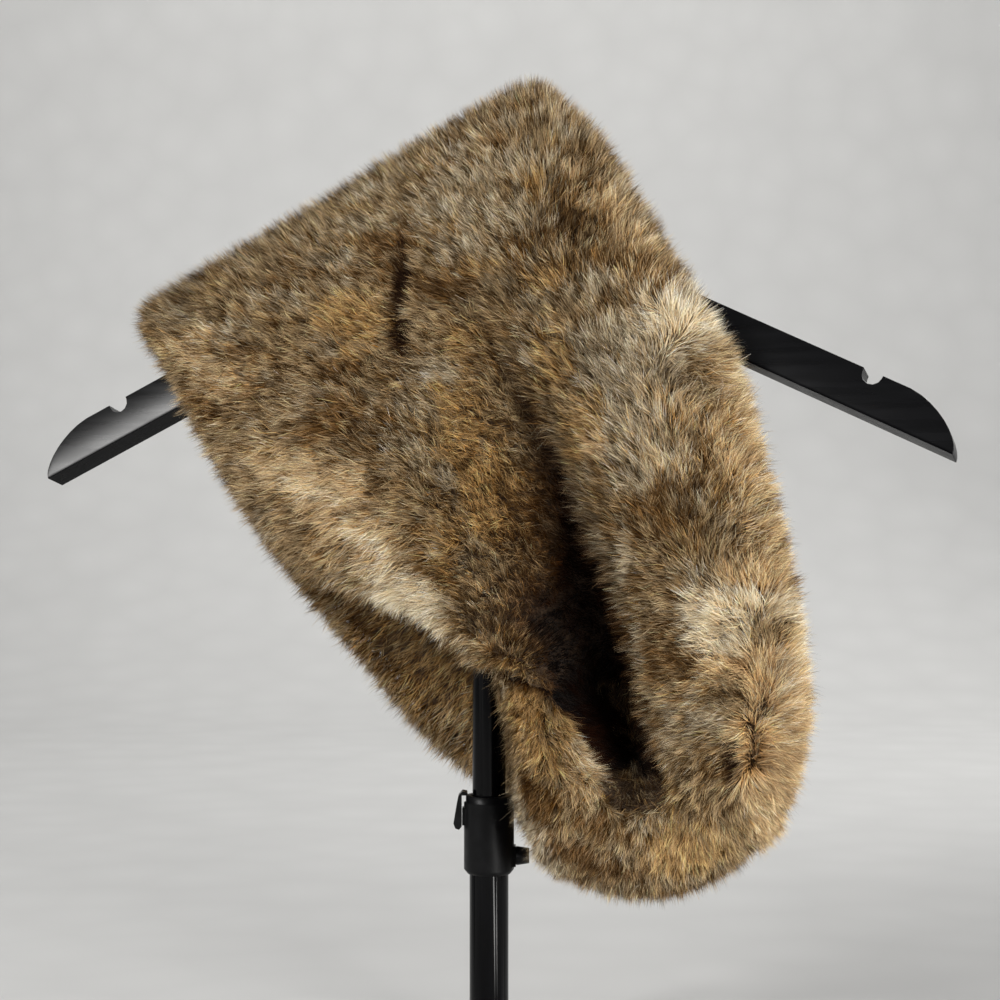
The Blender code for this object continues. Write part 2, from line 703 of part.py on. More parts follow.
def make_clamp_knob(collection, plastic):
    """The nut knob on the clamp's right, on the bolt's axis."""
    work = bmesh.new()
    reach = EAR_REACH + SEAT_GAP
    place = Matrix.Translation(((reach + KNOB_LENGTH / 2) * MM, 0.0, KNOB_Z * MM))
    bmesh.ops.create_cone(
        work,
        cap_ends=True,
        segments=14,
        radius1=KNOB_RADIUS * MM,
        radius2=KNOB_RADIUS * 0.8 * MM,
        depth=KNOB_LENGTH * MM,
        matrix=place @ Matrix.Rotation(pi / 2, 4, "Y"),
    )
    mesh = mesh_from_bmesh("clamp_knob", work)
    new_object("clamp_knob", mesh, plastic, collection)


def main():
    """Builds the whole part."""
    clear_scene()
    parts = new_collection(PART_NAME)
    cutters = new_collection("cutters")
    make_cloth(parts)
    make_hanger_board(parts)
    make_hanger_neck(parts)
    make_pole_lower(parts)
    make_pole_upper(parts)
    plastic = make_clamp(parts, cutters)
    make_clamp_lever(parts, plastic)
    make_clamp_knob(parts, plastic)


main()
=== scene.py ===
"""Looks of a looped fur collar wrap that hangs over a hanger on a two-stage pole.

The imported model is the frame: +Z is up, -Y is the front, and lengths in this file are in
millimetres unless a name ends in _m. Every fur solid is replaced by a thin backing cloth
and by the strands of its pile, which grow from the cloth and end at the solid's faces.
"""

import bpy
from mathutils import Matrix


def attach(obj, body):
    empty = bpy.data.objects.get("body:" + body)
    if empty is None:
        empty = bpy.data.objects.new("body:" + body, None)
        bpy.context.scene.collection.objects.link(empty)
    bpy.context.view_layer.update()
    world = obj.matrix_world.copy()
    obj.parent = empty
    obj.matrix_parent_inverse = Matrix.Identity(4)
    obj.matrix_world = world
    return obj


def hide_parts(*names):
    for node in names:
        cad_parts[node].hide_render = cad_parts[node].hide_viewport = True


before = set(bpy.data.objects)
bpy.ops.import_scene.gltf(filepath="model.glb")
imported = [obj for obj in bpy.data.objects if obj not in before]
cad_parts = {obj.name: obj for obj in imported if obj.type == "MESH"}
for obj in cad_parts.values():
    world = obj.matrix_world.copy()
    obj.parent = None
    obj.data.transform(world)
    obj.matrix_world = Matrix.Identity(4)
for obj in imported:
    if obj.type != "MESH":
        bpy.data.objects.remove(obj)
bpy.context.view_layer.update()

import logging
from collections.abc import Sequence
from dataclasses import dataclass
from enum import Enum
from math import cos, pi, radians, sin
from typing import NamedTuple

import bmesh
import bpy
import numpy as np
from bmesh.types import BMFace
from bpy.types import Mesh, Node, NodeSocket, NodeTree, Object
from mathutils import Matrix, Vector
from mathutils.bvhtree import BVHTree
from mathutils.kdtree import KDTree
from numpy import ndarray as Array
from numpy.random import Generator

LOG = logging.getLogger("scene")
MM = 0.001

# ---------------------------------------------------------------- camera and studio, m
CAMERA_PLACE_M = (0.0053, -1.027, 0.262)
CAMERA_LENS = 76.6  # mm on a sensor 36 mm wide
SENSOR = 36.0
SIGHT_M = 20.0
WORLD_COLOUR = "#e9eaec"
WORLD_LIGHT = 0.22
PAPER_SIDE_M = 4.0  # how far the paper reaches to each side
PAPER_END_M = 3.0  # and to the front and up
PAPER_DROP_M = 0.0005  # under the pole's end, so that they share no plane
COVE_STEPS = 24

# ---------------------------------------------------------------- hanger and clamp, mm
HANGER_PLACE = (-3.3, -7.2, 386.0)  # middle of the board's lower front edge
HANGER_TURN = (-13.5, -1.2, -18.4)  # lean back, roll and yaw, degrees
ARM_DROOP = 26.7  # degrees below level
BOARD_HEIGHT = 19.3
UNDERSIDE_M = (0.0004, 0.0014)  # up the arm, where its matt underside ends and gloss is full
UNDERSIDE_GLOSS = 0.04
SMOOTH_BELOW = 35.0  # degrees between faces that are shaded as one
FACE_WEIGHT = 100  # keeps large faces flat
WASHER_RADIUS = 4.3
WASHER_THICKNESS = 0.8
WASHER_SIDES = 32
KNOB_SEAT = (12.9, 0.0, 90.4)

# ---------------------------------------------------------------- pile, mm
PILE_DEPTH = 13.0  # from the backing cloth to the tips
PILE_SHARE = 0.45  # of the wall's thickness, where that is less
CLOTH_THICKNESS = 1.2
STRAND_WIDTH = 0.32  # of the long strands, at the root
HAIR_WIDTH = 0.24  # of the fine hairs between them
LONG_SHARE = 0.33  # share of the triangles that the long strands take
HAIR_START = 0.42  # how far up the pile the fine hairs begin
ROLL_SPREAD = 35.0  # degrees that a blade turns about its own length
WIDTH_SPREAD = (0.75, 1.25)  # of each blade, as a share
TUFT_AREA = 5.5  # square mm
TUFT_PULL = 0.42  # how far the tips of a tuft gather
TUFT_TURN = 19.0  # degrees by which the tufts lie unevenly
HAIR_TURN = 13.0  # the same for the hairs in a tuft
SEAM_REACH = 2.4  # faces this close to the next stretch are hidden in a seam
SEAM_FACING = 0.6  # and look at it at least this squarely
WELD = 0.01
THICKEST = 60.0  # wall that is looked for
SKIM = 0.3  # how far under a face that look starts
SMOOTHINGS = 3  # of the pile's depth

# How far tips stand out of the solid, mm.
LIFT = 0.3
RIM_LIFT = 1.2  # more where the wrap turns
STRAY = 3.5  # most for a stray hair
RIM_STRAY = 2.0
STRAY_POWER = 4  # keeps strays rare
TUFT_LIFT = 1.0  # unevenness from tuft to tuft
LIFT_WAVES = ((1.0, 9.0, 41),)
CREST = 2.6  # more along the top
PRESSED = 4.0  # less on the edge beside the pole
LEAST_LIFT = -2.5
MOST_LIFT = 7.5
LONG_LIE = (7.0, 12.0)  # lie of the hairs that may stand further out
PROUD = 1.2  # past the lift, before a tip is pulled in
LONG_PROUD = 2.4
LEAST_PROUD = 0.5
SHORTER = 3.4  # most that a hair falls short
SHORT_POWER = 2
KNEE_ROOT = 0.297  # shares that place a hair's bend between its root, the spot above it
KNEE_TIP = 0.473
KNEE_OVER = 0.23  # and its end
KNEE_SCATTER = 0.7

# Where an effect starts and where it is full, by place in mm or by part of a unit normal.
RIM_TURN = (0.55, 0.15)  # y of the normal, without its sign
BACK_TURN = (-0.35, 0.45)  # y
CREST_UP = (0.3, 0.7)  # z
CREST_FRONT = (0.6, 0.2)  # y
EDGE_UNDER = (192.0, 184.0)  # z of the roll's edge beside the pole
EDGE_BEFORE = (-12.0, -18.0)  # its y
EDGE_LEFT = (24.0, 14.0)  # its x
EDGE_TURN = (0.2, -0.3)  # x of its normal

# Slow changes over the pile: swing, size in mm and seed of each.
SWIRLS = ((0.2, 24.0, 51), (0.26, 8.0, 52))  # radians by which the lie turns
LEAN_WAVES = ((0.2, 12.0, 53),)
MOTTLE = ((1.3, 11.0, 62),)  # from dark to pale kinds of strand
BRIGHT_WAVES = ((0.22, 6.0, 60), (0.14, 20.0, 61))
WAVE_COUNT = 9
WAVE_SIZES = (0.7, 1.4)  # of the waves, as shares of their usual length
WAVE_GAIN = 2.2  # brings their mean to about 1
LEAN_SPREAD = (0.35, 1.1)  # of each hair, as a share of its station's lean
TIP_SCATTER = 0.5
STATION_BLUR = 90.0  # square mm, so that no station rules alone

# The hollow of the loop, mm.
PEAK = (22.0, 441.0)  # x and z of the top corner
PEAK_SLOPES = (0.52, -1.45)  # of the top to its left and right
HOLLOW_DROP = 42.0  # from the top to the middle of the hollow
HOLLOW_FLOOR = 140.0
FLOOR_TURN = 20.0  # x to the left of which the floor rises
HOLLOW_SLANT = (-0.333, 3.0)  # y for each mm of x, and x of its start


# ---------------------------------------------------------------- colour
def linear(code: str) -> tuple[float, float, float]:
    """Turns an sRGB hex colour, such as "#8a7050", into linear red, green and blue."""
    channels = (int(code[i : i + 2], 16) / 255 for i in (1, 3, 5))
    return tuple(c / 12.92 if c <= 0.04045 else ((c + 0.055) / 1.055) ** 2.4 for c in channels)


class Tone(NamedTuple):
    """Colours of one kind of strand, from its root to its tip; the dark root is partly the fur's
    own dark base and partly painted shade deep in the pile.
    """

    root: str
    body: str
    tip: str
    dark_share: float  # share of the tufts whose tips are dark


class Tones(Enum):
    """The kinds of strand in the pile, from dark to pale."""

    DARK = Tone("#0a0502", "#20130a", "#392514", 0.50)
    BROWN = Tone("#140a02", "#52350e", "#8f6c40", 0.42)
    GOLD = Tone("#341e07", "#95692e", "#ddb67b", 0.20)
    TAUPE = Tone("#1c1004", "#6e5027", "#c4a97f", 0.36)
    GREY = Tone("#2f200e", "#8f774f", "#dccaab", 0.26)
    HONEY = Tone("#644218", "#c0935a", "#ebcb9c", 0.07)
    TAN = Tone("#553916", "#bd8f52", "#f4d5a6", 0.22)
    CREAM = Tone("#846841", "#e4c08c", "#fff1cf", 0.05)


DARK, BROWN, GOLD, TAUPE, GREY, HONEY, TAN, CREAM = Tones
DARK_TIP = "#22140a"
COMMON_TONES = ((TAUPE, 1.0), (BROWN, 0.45), (GREY, 0.30), (GOLD, 0.22))
COMMON_SWING = 0.9  # how unevenly the common kinds mix
COMMON_SIZE = 34.0  # mm
PATCH_WANDER = 3.0  # mm by which a patch's edge strays
WANDER_SIZE = 26.0
PATCH_EDGE = 1.3  # power that makes its edge firm
TONE_EDGE = 1.8  # power that keeps the common kind of a place common
TONE_STEEP = 1.55  # how far the mottle drives the choice
TUFT_TONE = 0.5  # the tuft's and the hair's own part in it
HAIR_TONE = 0.7
TUFT_DARK_SHARE = 0.6  # hairs whose dark tips follow their tuft
HAIR_BRIGHT = 0.36
TUFT_BRIGHT = 0.28
BRIGHT_SHIFT = 0.07
FRONT_TONES = 0.15  # y of the normal up to which the front's patches hold
HALF_UP = 0.65  # share of the body's colour where a fine hair starts
# Painted shade: strands deep in a fold of the outer face are darkened towards black by how shut in
# they are.
FOLD_SHADE = (0.24, 0.52)  # how shut in the pile is where the painted shade of a fold starts and where it is full black
FOLD_SHADE_STRENGTH = 0.99
FOLD_SHADE_POWERS = (0.8, 1.0, 1.2)  # powers of the painted shade in red, green and blue, which keep it warm

# Ways to look from a place, spread evenly.
LOOK_COUNT = 60
GOLDEN_ANGLE = 2.39996
LOOK_START = 0.5  # mm above the pile
LOOK_REACH = 90.0
LOOK_RISE = 0.1  # least cosine to the normal
LOOKS = [
    Vector((cos(turn) * (1 - z * z) ** 0.5, sin(turn) * (1 - z * z) ** 0.5, z))
    for turn, z in (
        (GOLDEN_ANGLE * i, 1 - (2 * i + 1) / LOOK_COUNT) for i in range(LOOK_COUNT)
    )
]


class Flow(NamedTuple):
    """The way the pile lies at one place of the wrap."""

    x: float
    z: float
    angle: float  # degrees, 0 to the right and 90 up
    lean: float  # how far the tips lie from above their roots


class Patch(NamedTuple):
    """An oval place where one kind of strand is common."""

    x: float
    z: float
    half_x: float
    half_z: float
    turn: float  # degrees, counter-clockwise
    tone: Tones
    strength: float


def rows(kind: type, *values: tuple) -> tuple:
    """Turns the rows of a table into tuples of a kind with named fields."""
    return tuple(kind(*row) for row in values)


FRONT_FLOW = rows(
    Flow,
    # the left end
    (-147, 342, 178, 9), (-131, 307, 186, 9), (-90, 276, 184, 12), (-103, 242, 208, 10),
    # along the top, over the peak and down the shoulder
    (-113, 369, 147, 9), (-58, 403, 143, 9), (-13, 435, 130, 9), (17, 447, 95, 9),
    (39, 432, 62, 9), (62, 398, 48, 10), (83, 367, 42, 10),
    # the pale star
    (85, 349, 85, 13), (101, 339, 22, 14), (92, 328, -20, 12), (76, 342, 150, 10),
    # the upper front and the saddle
    (-72, 353, 146, 8), (-27, 376, 138, 8), (5, 403, 124, 8), (39, 392, 35, 8), (23, 353, 122, 8),
    (51, 339, 112, 8),
    # the right fold
    (60, 307, 114, 10), (69, 267, 118, 10), (35, 289, 130, 7), (58, 217, 172, 7),
    (96, 276, 85, 9), (114, 289, 35, 11), (129, 271, 15, 9), (123, 239, 30, 11),
    # the notch and its tuft
    (141, 217, 0, 10), (98, 211, 166, 12), (113, 222, 98, 12), (132, 211, 38, 12),
    # the pocket's face and the crease beside its rim
    (92, 176, 178, 9), (96, 142, 205, 8), (113, 184, 150, 10), (108, 155, 170, 10),
    (126, 186, 52, 13), (124, 158, 22, 13),
    # the pocket's rim
    (138, 185, 40, 12), (143, 153, 2, 11), (130, 133, -20, 12), (133, 116, -42, 9),
    # the bottom and the roll
    (110, 101, -68, 9), (73, 96, -95, 10), (39, 105, -118, 9), (13, 135, 250, 6),
    (9, 167, 258, 5), (38, 151, -30, 10), (71, 123, -80, 8),
    # the left panel, its lip and its crease
    (-40, 307, 154, 8), (-2, 285, 150, 7), (14, 230, 168, 8), (19, 194, 215, 6),
    (-4, 191, 200, 5), (-52, 217, 214, 13), (-22, 198, 222, 13), (-29, 353, 160, 9),
)
BACK_FLOW = rows(
    Flow,
    # the top, from left to right
    (-147, 342, 180, 9), (-90, 380, -70, 9), (10, 430, -50, 9), (80, 360, -15, 10),
    (128, 240, -20, 10),
    # the left and the middle
    (-80, 320, -75, 9), (-100, 250, -140, 10), (10, 300, -65, 9),
    # the bottom
    (-30, 190, -130, 10), (60, 180, -80, 10), (80, 110, -90, 10), (30, 120, -115, 10),
)
INSIDE_FLOW = rows(
    Flow,
    # the left mouth and the leg under it
    (-100, 260, 205, 9), (-72, 217, 218, 10), (-30, 190, 235, 9), (-10, 150, 245, 10),
    # the top, the right mouth and the floor
    (-20, 350, 250, 8), (115, 230, -35, 9), (80, 130, -100, 7),
)

FRONT_PATCHES = rows(
    Patch,
    # the peak and the left shoulder
    (-4, 403, 34, 28, -35, GREY, 1.2), (-63, 392, 27, 11, 30, GREY, 0.7),
    # spots of the upper front
    (-62, 344, 14, 11, -20, GOLD, 5.0), (-60, 346, 9, 7, -20, TAN, 2.5),
    (-1, 367, 11, 5, 10, GOLD, 1.8), (29, 357, 10, 7, -30, GOLD, 1.8),
    (21, 403, 8, 6, -30, GOLD, 1.4),
    # The pale patches from here to the pocket's rim are partly the fur's own cream, honey and tan,
    # and partly painted light, made stronger where the right side faces the lamp.
    # the right shoulder and the pale star
    (57, 381, 9, 36, 38, TAN, 3.2), (88, 342, 17, 14, 0, CREAM, 6.0),
    # the right fold, its edge and its foot
    (64, 305, 18, 30, 15, GREY, 8.0), (72, 296, 14, 24, 15, TAN, 4.5),
    (38, 303, 8, 26, 20, GOLD, 4.0), (44, 292, 5, 22, 20, HONEY, 3.0),
    (113, 289, 15, 39, 15, TAN, 6.0), (82, 256, 18, 13, 0, BROWN, 1.5),
    (120, 242, 16, 24, 10, TAN, 1.8), (114, 228, 10, 8, 0, HONEY, 4.0),
    # under the fold: a brown oval of painted shade, and a pale grey one
    (78, 196, 12, 13, 0, BROWN, 1.2), (51, 235, 6, 27, 25, GREY, 1.4),
    # the pale tuft in the notch, with painted shade in its middle: the dark and the taupe oval
    (105, 209, 12, 7, -15, CREAM, 24.0), (106, 198, 12, 3.5, -12, CREAM, 9.0),
    (126, 213, 11, 4.5, 0, CREAM, 24.0), (125, 205, 8, 3, -5, DARK, 7.0),
    (124, 199, 7, 4, 0, TAUPE, 14.0), (136, 195, 8, 4.5, 40, CREAM, 14.0),
    (106, 187, 12, 8, 0, HONEY, 4.0),
    # the pocket's face, its rim and the crease, where a thin dark oval is painted shade
    (84, 164, 13, 20, 0, GREY, 0.8), (131, 158, 13, 45, 3, HONEY, 24.0),
    (128, 176, 7, 22, 3, CREAM, 14.0), (149, 165, 4.0, 44, 3, BROWN, 20.0),
    (134, 268, 4.0, 52, 12, BROWN, 7.0), (116, 160, 1.6, 20, -14, DARK, 12.0),
    # the roll and the bottom
    (26, 160, 14, 24, 30, GOLD, 3.0), (42, 146, 14, 14, -35, TAN, 4.0),
    (42, 149, 6, 14, 35, CREAM, 3.0), (89, 105, 19, 14, 10, GOLD, 3.0),
    (46, 97, 27, 6, -20, BROWN, 2.4), (53, 116, 15, 6, -20, BROWN, 2.6),
    (18, 132, 6, 20, 20, BROWN, 2.6), (14, 112, 7, 22, 32, GREY, 6.0),
    # the left end and the lip
    (-124, 318, 16, 9, -35, TAN, 2.0), (-138, 336, 14, 8, -10, TAN, 1.8),
    (-72, 260, 15, 35, 55, TAN, 4.0), (-70, 258, 8, 30, 55, CREAM, 2.4),
    (-35, 217, 12, 27, 58, CREAM, 2.8),
    # the left panel and its crease, where a thin dark oval is painted shade
    (-1, 276, 12, 34, 20, GOLD, 4.0), (17, 253, 12, 36, 25, BROWN, 2.4),
    (5, 212, 18, 20, 0, TAN, 1.2), (-39, 355, 3, 23, 5, DARK, 8.0),
    (-31, 296, 25, 19, -20, GREY, 0.6), (-54, 296, 15, 7, -10, BROWN, 1.6),
    # the saddle
    (39, 382, 19, 15, -30, BROWN, 2.0), (73, 353, 7, 16, 20, BROWN, 1.8),
    (44, 353, 11, 9, 0, GREY, 1.2), (-13, 353, 15, 10, 0, BROWN, 1.2),
)
BACK_PATCHES = rows(
    Patch,
    # the crown, made paler: painted light against the dim light it gets from behind
    (-62, 386, 104, 17, 32, GREY, 3.0), (-40, 396, 60, 12, 32, TAN, 1.2),
    # the upper back and the right edge
    (-60, 350, 30, 26, -30, GREY, 1.3), (20, 380, 16, 12, 20, GOLD, 1.6),
    (100, 280, 16, 60, 25, TAN, 2.0),
    # the middle
    (-20, 210, 20, 44, 50, CREAM, 1.8), (30, 290, 30, 34, 0, GREY, 1.5),
    (-30, 270, 14, 26, 35, GOLD, 1.6), (60, 220, 22, 30, 10, BROWN, 1.5),
    # the hem and the left
    (90, 130, 34, 16, 0, TAN, 1.6), (-100, 300, 18, 20, 0, BROWN, 1.3),
)
INSIDE_PATCHES = rows(
    Patch,
    # the leg under the left mouth
    (-60, 205, 8, 50, 40, BROWN, 2.0), (-28, 180, 14, 40, 35, GOLD, 5.0),
    (-20, 205, 30, 12, -35, BROWN, 2.6), (-14, 155, 12, 28, 20, TAN, 4.0),
)
FLOWS = (FRONT_FLOW, BACK_FLOW, INSIDE_FLOW)
PATCHES = (FRONT_PATCHES, BACK_PATCHES, INSIDE_PATCHES)


def ramp(x: Array, start: float, end: float) -> Array:
    """A smooth rise of x from 0 at start to 1 at end, either of which may be the lower."""
    x = np.clip((x - start) / (end - start), 0.0, 1.0)
    return x * x * (3.0 - 2.0 * x)


def unit(vectors: Array) -> Array:
    """Scales vectors, one a row, to length 1."""
    return vectors / np.maximum(np.linalg.norm(vectors, axis=-1, keepdims=True), 1e-9)


def waves(points: Array, size: float, seed: int) -> Array:
    """Smooth uneven noise from crossed sine waves.

    Args:
        points: places, mm.
        size: the waves' usual length, mm.
        seed: which noise.

    Returns:
        A number for each place, mostly between -1 and 1.
    """
    rng = np.random.default_rng(seed)
    lengths = rng.normal(size=(WAVE_COUNT, 3))
    ways = unit(lengths) / (size * rng.uniform(*WAVE_SIZES, WAVE_COUNT))[:, None]
    start = rng.uniform(0, 2 * pi, WAVE_COUNT)
    return np.sin(2 * pi * points @ ways.T + start).mean(axis=1) * WAVE_GAIN


def ripples(points: Array, changes: tuple[tuple[float, float, int], ...]) -> Array:
    """Adds slow changes, each with its swing, size in mm and seed, at places in mm."""
    return sum(swing * waves(points, size, seed) for swing, size, seed in changes)


def lie_of_pile(stations: tuple[Flow, ...], points: Array) -> Array:
    """Blends the stations' directions at each point.

    Args:
        stations: where the pile's direction is known.
        points: places, mm.

    Returns:
        For each point the direction along x and z, and the lean in mm.
    """
    there = np.array([(flow.x, flow.z) for flow in stations])
    angle = np.radians([flow.angle for flow in stations])
    lean = np.array([flow.lean for flow in stations])
    away = ((points[:, None, [0, 2]] - there) ** 2).sum(axis=-1)
    weight = 1.0 / (away + STATION_BLUR) ** 2
    weight /= weight.sum(axis=1, keepdims=True)
    return np.stack([weight @ np.cos(angle), weight @ np.sin(angle), weight @ lean], axis=1)


def tone_weights(patches: tuple[Patch, ...], points: Array) -> Array:
    """How common each kind of strand is at each point.

    Args:
        patches: the places of the kinds.
        points: places, mm.

    Returns:
        One column for each kind, in the order of Tones.
    """
    order = {tone: index for index, tone in enumerate(Tones)}
    weight = np.zeros((len(points), len(order)))
    for seed, (tone, share) in enumerate(COMMON_TONES, 20):
        weight[:, order[tone]] += share * np.exp(COMMON_SWING * waves(points, COMMON_SIZE, seed))
    wander = np.stack([waves(points, WANDER_SIZE, seed) for seed in (31, 32)], axis=1)
    wander *= PATCH_WANDER
    for patch in patches:
        turn = radians(patch.turn)
        x, z = (points[:, [0, 2]] + wander - (patch.x, patch.z)).T
        along = (x * cos(turn) + z * sin(turn)) / patch.half_x
        up = (z * cos(turn) - x * sin(turn)) / patch.half_z
        share = np.exp(-((along**2 + up**2) ** PATCH_EDGE))
        weight[:, order[patch.tone]] += patch.strength * share
    return weight


# ---------------------------------------------------------------- node trees
def feed(socket: NodeSocket, value: object) -> None:
    """Gives an input a value, or a link where the value is an output.

    Args:
        socket: the input.
        value: its number, colour or vector, or an output socket.
    """
    if isinstance(value, NodeSocket):
        socket.id_data.links.new(value, socket)
    else:
        socket.default_value = value


def set_inputs(node: Node, **inputs: object) -> None:
    """Gives a node's inputs, named with _ for a space, their values or output sockets."""
    for name, value in inputs.items():
        feed(node.inputs[name.replace("_", " ")], value)


def add_node(tree: NodeTree, kind: str, settings: dict | None = None, **inputs: object) -> Node:
    """Adds a node, with its settings and its inputs.

    Args:
        tree: where it goes.
        kind: the node's type name.
        settings: its properties by name.
        inputs: values or output sockets by input name, with _ for a space.

    Returns:
        The node.
    """
    node = tree.nodes.new(kind)
    for name, value in (settings or {}).items():
        setattr(node, name, value)
    set_inputs(node, **inputs)
    return node


def math_node(tree: NodeTree, operation: str, *values: object) -> NodeSocket:
    """Adds a sum, a product or the like.

    Args:
        tree: where it goes.
        operation: what it does.
        values: its numbers or output sockets.

    Returns:
        The result's socket.
    """
    node = add_node(tree, "ShaderNodeMath", {"operation": operation})
    for socket, value in zip(node.inputs, values):
        feed(socket, value)
    return node.outputs[0]


def spread(
    tree: NodeTree, value: NodeSocket, source: tuple, target: tuple = (0.0, 1.0)
) -> NodeSocket:
    """Maps one range of numbers to another, and holds it at the ends."""
    ends = dict(zip(("From_Min", "From_Max", "To_Min", "To_Max"), source + target))
    return add_node(tree, "ShaderNodeMapRange", Value=value, **ends).outputs[0]


def two_colours(tree: NodeTree, codes: tuple[str, str], share: NodeSocket) -> NodeSocket:
    """Mixes two sRGB colours by the share of the second."""
    ends = {name: (*linear(code), 1.0) for name, code in zip("AB", codes)}
    mixed = add_node(tree, "ShaderNodeMix", {"data_type": "RGBA"}, Factor=share, **ends)
    return mixed.outputs["Result"]


def new_material(name: str) -> tuple[NodeTree, Node]:
    """Makes a material with a Principled shader.

    Args:
        name: the material's name.

    Returns:
        Its node tree and the shader.
    """
    made = bpy.data.materials.new(name)
    made.use_nodes = True
    return made.node_tree, made.node_tree.nodes["Principled BSDF"]


def new_piece(mesh: Mesh, material: str) -> Object:
    """Makes a piece of a mesh.

    Args:
        mesh: the mesh, which gives the piece its name.
        material: the name of its one material.

    Returns:
        The piece, in the scene.
    """
    mesh.materials.clear()
    mesh.materials.append(bpy.data.materials[material])
    piece = bpy.data.objects.new(mesh.name, mesh)
    bpy.context.scene.collection.objects.link(piece)
    LOG.info("%s: %d faces, %s", piece.name, len(mesh.polygons), material)
    return piece


PALE_GRAIN = (0.45, 0.75)  # noise where the paler colour starts and is full
ROUGH_GRAIN = (0.3, 0.7)  # the same for the roughness
SPECK_SHARE = 0.45  # of the fine texture in the relief
PALE_STRAND = (0.0, 0.15)  # light of a strand that has no gloss, and all of it
SHEEN_ROUGHNESS = 0.45
LOOP_DEPTH = 0.3  # mm
LOOP_STRENGTH = 0.8
MATT = 0.95


@dataclass(frozen=True)
class HardFinish:
    """A dark painted, coated or moulded surface.

    name is the material's, colour its sRGB colour and light_colour that of its paler
    places; roughness and rough_spread are its gloss and how uneven that is; grain is the
    size of its unevenness along x, y and z in mm, bump its depth in mm, speck the size of
    its fine texture in mm, and gloss how much it mirrors. roll is how far, in degrees, the
    face of a hanger's arm turns up towards its top.
    """

    name: str
    colour: str
    light_colour: str
    roughness: float
    rough_spread: float
    grain: tuple[float, float, float]
    bump: float
    speck: float
    gloss: float
    roll: float = 0.0

    def arm_shape(self, tree: NodeTree, place: object, fine: object) -> tuple:
        """The roll of an arm's face, and its gloss, which its underside doesn't have.

        Args:
            tree: the material's nodes.
            place: the socket of the board's own coordinates.
            fine: the socket of the fine relief.

        Returns:
            The sockets of the whole relief and of the gloss.
        """
        axes = add_node(tree, "ShaderNodeSeparateXYZ", Vector=place).outputs
        droop = radians(ARM_DROOP)
        out = math_node(tree, "ABSOLUTE", axes["X"])
        out = math_node(tree, "MULTIPLY", out, sin(droop))
        height = math_node(tree, "MULTIPLY_ADD", axes["Z"], cos(droop), out)
        bend = sin(radians(self.roll)) / (2 * BOARD_HEIGHT * MM) / (self.bump * MM)
        rolled = math_node(tree, "MULTIPLY", height, height)
        relief = math_node(tree, "MULTIPLY_ADD", rolled, -bend, fine)
        return relief, spread(tree, height, UNDERSIDE_M, (UNDERSIDE_GLOSS, self.gloss))

    def material(self) -> None:
        """Makes the material."""
        tree, shader = new_material(self.name)
        place = add_node(tree, "ShaderNodeTexCoord").outputs["Object"]
        scale = tuple(1.0 / (size * MM) for size in self.grain)
        grain_place = add_node(tree, "ShaderNodeMapping", Vector=place, Scale=scale)
        grain = add_node(
            tree, "ShaderNodeTexNoise", Vector=grain_place.outputs[0], Scale=1.0, Detail=5.0
        ).outputs["Fac"]
        speck = add_node(
            tree, "ShaderNodeTexNoise", Vector=place, Scale=1.0 / (self.speck * MM), Detail=3.0
        ).outputs["Fac"]
        pale = spread(tree, grain, PALE_GRAIN)
        rough = (self.roughness - self.rough_spread, self.roughness + self.rough_spread)
        relief, gloss = math_node(tree, "MULTIPLY_ADD", speck, SPECK_SHARE, grain), self.gloss
        if self.roll:
            relief, gloss = self.arm_shape(tree, place, relief)
        bump = add_node(tree, "ShaderNodeBump", Height=relief, Distance=self.bump * MM)
        set_inputs(
            shader,
            Base_Color=two_colours(tree, (self.colour, self.light_colour), pale),
            Roughness=spread(tree, grain, ROUGH_GRAIN, rough),
            Specular_IOR_Level=gloss,
            Normal=bump.outputs[0],
        )


# Black satin lacquer over wood: the grain's long ripples break up the long highlights, the
# rolled face shades them off towards the top, and the underside is matt.
LACQUERED_WOOD = HardFinish(
    "black_lacquered_wood", "#040405", "#09090b", 0.28, 0.04, (60.0, 6.0, 4.0), 0.01, 1.1, 0.3, 12.0
)
# Black stove enamel on steel tube: a slight orange peel under a narrow bright streak.
ENAMELLED_TUBE = HardFinish(
    "black_enamelled_steel", "#020203", "#050507", 0.14, 0.03, (9.0, 9.0, 40.0), 0.01, 1.6, 0.14
)
# Black moulded nylon: a fine spark-eroded grain that spreads the highlights.
MOULDED_NYLON = HardFinish(
    "black_moulded_nylon", "#060607", "#0d0d0f", 0.38, 0.07, (5.0, 5.0, 5.0), 0.04, 0.7, 0.16
)


@dataclass(frozen=True)
class FurFinish:
    """The strands' surface: name, roughness, sheen and the gloss of the pale strands."""

    name: str
    roughness: float
    sheen: float
    gloss: float

    def material(self) -> None:
        """Makes the material, which takes each strand's colours from its mesh."""
        tree, shader = new_material(self.name)
        colour = add_node(tree, "ShaderNodeVertexColor", {"layer_name": "pile"})
        grey = add_node(tree, "ShaderNodeRGBToBW", Color=colour.outputs["Color"])
        set_inputs(
            shader,
            Base_Color=colour.outputs["Color"],
            Specular_IOR_Level=spread(tree, grey.outputs[0], PALE_STRAND, (0.0, self.gloss)),
            Roughness=self.roughness,
            Sheen_Weight=self.sheen,
            Sheen_Roughness=SHEEN_ROUGHNESS,
        )


# Fine modacrylic strands: each is dark at its root, partly its own colour and partly painted
# shade deep in the pile, and paler or dark-tipped at its end, with a soft silky gloss.
SILKY_PILE = FurFinish("modacrylic_pile", 0.5, 0.04, 0.32)


